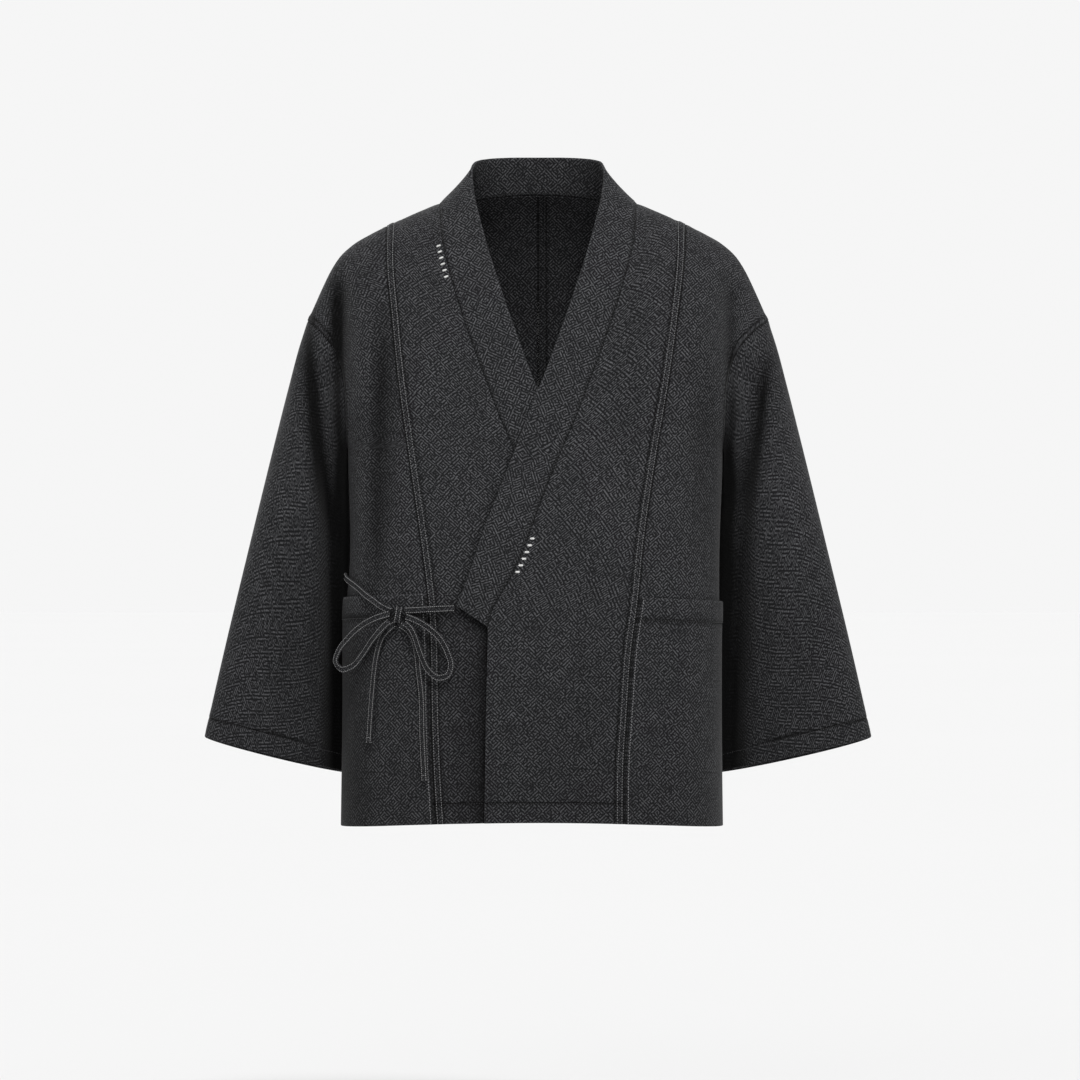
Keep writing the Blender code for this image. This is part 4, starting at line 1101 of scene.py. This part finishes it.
def bandHalf(side):
    # rows from the middle of the back neck to the band's end, columns from its seam to its free edge
    face = overFace if side > 0 else underFace
    cad = np.array(band["cadRows"])[::-1]
    last = len(cad) - 1
    fine = np.concatenate([np.linspace(0, last - 0.05, band["frontRows"]), last + np.array(band["endSteps"])])
    rows = np.interp(fine, np.arange(len(cad)), cad)
    xi = cutsOf(overEdge if side > 0 else underEdge, rows)
    neckXi = np.linspace(0, body["neckX"] / body["shoulderTipX"], band["backRows"])
    seamBack = backFace(side * neckXi, backTop(neckXi))
    seamFront = face(xi, rows)
    seamBack[-1, 1] = 0
    seam = np.concatenate([seamBack, seamFront[1:]])
    edge = np.array([[side * row[0], row[2], row[1], row[3]] for row in band["edge"]], float)
    frontEdge = edge[band["shoulderRow"]:]
    long = runLengths(frontEdge)
    at = fine / last * long[-1]
    freeFront = np.stack([through(long, frontEdge[:, k], at) for k in range(4)], axis=1)
    free = np.concatenate([resampled(edge[:band["shoulderRow"] + 1], len(seamBack)), freeFront[1:]])
    grid = seam[:, None, :] + (free[:, :3] - seam)[:, None, :] * shares[None, :, None]
    grid[..., 0] -= side * band["hollow"] * free[:, 3:] * 4 * shares * (1 - shares)
    # where the band lies on the front it follows it, and the left half springs a little off it
    lying = face(*frontPlace(grid[..., 0], grid[..., 2]))[..., 1]
    lying = lying - band["spring"] * shares[None, :] * (side > 0)
    stand = free[:, 3:] * np.ones_like(lying)
    stand[len(seamBack):] *= smoothStep(1.2 * shares + stand[len(seamBack):] ** 3)
    grid[..., 1] = grid[..., 1] * stand + lying * (1 - stand)
    first = grid[:, 1] - grid[:, 0]
    grid[:, 0] += unit(first) * band["gap"]
    return grid


grid = np.concatenate([bandHalf(-1)[:0:-1], bandHalf(1)])
normal = unit(np.cross(np.gradient(grid, axis=1), np.gradient(grid, axis=0)))
across, along = gridLengths(grid)
wide = across[:, -1:]
nearEdge = np.minimum(across, wide - across)
proud = band["proud"] * np.clip(0.2 + nearEdge / 2.0, 0, 1)
relief = pucker(across, along, 8, 14, 0.35) + pucker(wide - across, along, 6, 21, 0.25)
relief -= softLines(across, (band["stitchAt"], 0.8, 0.3), (0, 0.6, 0.3))
fromEnds = np.minimum(along, along[-1:] - along)
proud = proud * np.clip(0.3 + fromEnds / 1.8, 0, 1)
outer = grid + (proud + relief)[..., None] * normal
inner = grid - (body["cloth"] - 0.8 * bell(nearEdge, 0.8))[..., None] * normal
wornAndShaded = softLines(wide - across, (0, 1.6, 0.45))
wornAndShaded -= softLines(across, (0, 1.4, 1.2), (band["stitchAt"], 0.9, 0.7))
# the band's weave is measured square to the line up its middle
centre = len(shares) // 2
middle = slice(centre, centre + 1)
run = unit(np.gradient(grid[:, centre], axis=0))[:, None]
fromCentre = grid - grid[:, middle]
lean = (fromCentre * run).sum(-1)
aside = np.linalg.norm(fromCentre - lean[..., None] * run, axis=-1)
mapAcross = across[:, middle] + np.sign(across - across[:, middle]) * aside
bandMap = np.stack([mapAcross, along[:, middle] + lean], -1)
bandCloth = shellPiece("collar_band_cloth", outer, inner, bandMap, np.clip(wornAndShaded, -1, 1))
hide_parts("collar_band")
declareSheet(bandCloth, outer)


def acrossLine(surface, distance, away):
    # the line on a grid that keeps one distance from its first column
    line, out = [], []
    for row in range(len(surface)):
        line.append([np.interp(distance, across[row], surface[row, :, k]) for k in range(3)])
        out.append([np.interp(distance, across[row], away[row, :, k]) for k in range(3)])
    return np.array(line), unit(np.array(out))


overlap = {
    "pieces": ("front_right_cloth", "front_right_side_cloth", "pocket_right_cloth"),
    # how dark the painted shadow is at the edge and how far that reaches, above and below the crossing
    "crossingZ": -465, "blendZ": 30, "dark": 0.9, "less": 0.05, "reach": 3.0, "moreReach": 4.5,
    "wideDark": 0.32, "wideReach": 40, "bandTopZ": -200, "steps": 60,
}


def shadeUnderOverlap():
    # painted shadow: the under layer is darkened beside the edges of the over front and the band, as if in
    # the shade they cast
    overHalf = bandHalf(1)
    bandEdge = overHalf[:, -1][overHalf[:, -1, 2] < overlap["bandTopZ"]]
    bandEnd = overHalf[-1, ::-1]
    low = np.linspace(body["bandEndZ"], body["hemZ"], overlap["steps"])
    edge = np.concatenate([bandEdge[:, [0, 2]], bandEnd[:, [0, 2]], np.stack([overEdge(low), low], -1)])
    for name in overlap["pieces"]:
        data = bpy.data.objects[name].data
        spots, wearAndShade = np.zeros(len(data.vertices) * 3), np.zeros(len(data.vertices))
        data.vertices.foreach_get("co", spots)
        data.attributes["wornAndShaded"].data.foreach_get("value", wearAndShade)
        spots = spots.reshape(-1, 3)[:, [0, 2]] / mm
        beside = np.array([np.sqrt(((edge - spot) ** 2).sum(-1).min()) for spot in spots])
        lower = smoothStep((overlap["crossingZ"] - spots[:, 1]) / overlap["blendZ"])
        reach = overlap["reach"] + overlap["moreReach"] * lower
        shadow = (overlap["dark"] - overlap["less"] * lower) * np.exp(-beside / reach)
        shadow += overlap["wideDark"] * lower * np.exp(-beside / overlap["wideReach"])
        wearAndShade = np.clip(wearAndShade - shadow, -1, 1).astype(np.float32)
        data.attributes["wornAndShaded"].data.foreach_set("value", wearAndShade)


shadeUnderOverlap()
bandStitch = {**stitch, "pitch": 2.7, "long": 1.9}
bandRows = []
for surface, away in ((outer, normal), (inner, -normal)):
    bandRows.append(stitchRow(*acrossLine(surface, band["stitchAt"], away), bandStitch))
for row in band["endRows"]:
    bandRows.append(stitchRow(outer[row], normal[row], bandStitch))
stitchPiece("collar_band_stitches", bandRows, darkThread)
print("collar band ready")

# inside stitches of the centre-back seam, seen through the neck
_, _, backInner, backNormal = panels["back_left"]
above = slice(len(rowsBelow), None)
rows = [stitchRow(backInner[above, k], -backNormal[above, k]) for k in cutting["felledStitches"]]
stitchPiece("back_inside_stitches", rows, darkThread)

# plain white bar stitches beside the neck seam, evenly spaced
bars = {
    "long": 6.2, "wide": 2.6, "high": 0.9, "lift": 0.35, "count": 6, "pitch": 8.5,
    # panel, height of the first bar, the column at the neck seam, and the way inward from it
    "spots": (("front_right", 0.70, -3, -1), ("front_left", -0.33, 2, 1)),
}
# each bar is one stitch, as long as the line it lies on
barForm = {**bars, "pitch": bars["long"] * 0.99}
barRows = []
for name, height, edgeColumn, way in bars["spots"]:
    _, cloth, _, away = panels[name]
    start = int(np.argmin(np.abs(bodyRows - height)))
    line, out = cloth[start:, edgeColumn], away[start:, edgeColumn]
    inward = unit(cloth[start:, edgeColumn + 6 * way] - line)
    long = runLengths(line)
    for n in range(bars["count"]):
        at = n * bars["pitch"]
        spot, up, aside = (np.array([np.interp(at, long, values[:, k]) for k in range(3)])
                           for values in (line, out, inward))
        steps = np.linspace(0, 1, 5)[:, None]
        stretch = spot + aside * steps * bars["long"] + up * bars["lift"]
        barRows.append(stitchRow(stretch, np.repeat(up[None], len(stretch), 0), barForm, 0))
stitchPiece("bar_stitches", barRows, whiteThread)
print("stitches ready")

# floor and light
studio = {
    "floorZ": -1.12, "floorSize": 120, "backdrop": 0.92, "skyLight": 0.36, "floorTone": 0.768, "drift": 0.01,
    # name, where the light comes from, strength, softness in degrees
    "lamps": (("keyLamp", (0.9, -3.0, 4.4), 2.25, 14), ("fillLamp", (-1.0, -4.0, 1.4), 0.3, 40),
              ("backLamp", (-0.8, 3.6, 2.4), 1.3, 50)),
}
bpy.ops.object.select_all(action="DESELECT")
bpy.ops.mesh.primitive_plane_add(size=studio["floorSize"], location=(0, 0, studio["floorZ"]))
floor = bpy.context.object
floor.name = "studio_floor"
paleFloor = Finish("paleFloor", Roughness=1.0, Specular_IOR_Level=0.0)
drift = paleFloor.add("TexNoise", {}, 0, Vector=paleFloor.add("TexCoord", {}, 3), Scale=0.4)
tones = [(tone, tone, tone, 1) for tone in (studio["floorTone"], studio["floorTone"] + studio["drift"])]
paleFloor.feed("Base Color", paleFloor.add("Mix", colourMix, 2, _0=drift, _6=tones[0], _7=tones[1]))
floor.data.materials.append(paleFloor.material)
# the sky lights the cloth softly, and the camera sees it as a paler backdrop
world = bpy.data.worlds.new("softSky")
world.use_nodes = True
sky = world.node_tree
plain, lit = sky.nodes["Background"], sky.nodes.new("ShaderNodeBackground")
path, blend = sky.nodes.new("ShaderNodeLightPath"), sky.nodes.new("ShaderNodeMixShader")
lit.inputs[0].default_value = plain.inputs[0].default_value = (1, 1, 1, 1)
lit.inputs[1].default_value, plain.inputs[1].default_value = studio["skyLight"], studio["backdrop"]
sky.links.new(path.outputs["Is Camera Ray"], blend.inputs[0])
sky.links.new(lit.outputs[0], blend.inputs[1])
sky.links.new(plain.outputs[0], blend.inputs[2])
sky.links.new(blend.outputs[0], sky.nodes["World Output"].inputs[0])
scene.world = world
for name, place, power, soft in studio["lamps"]:
    lampData = bpy.data.lights.new(name, "SUN")
    lampData.energy, lampData.angle = power, np.radians(soft)
    lamp = bpy.data.objects.new(name, lampData)
    lamp.location = place
    lamp.rotation_euler = (-Vector(place)).to_track_quat("-Z", "Y").to_euler()
    scene.collection.objects.link(lamp)
scene.view_settings.view_transform = "Standard"
print("light ready")

shown = [piece.data for piece in bpy.data.objects if piece.type == "MESH" and not piece.hide_render]
print("triangles", sum(len(data.loops) - 2 * len(data.polygons) for data in shown))
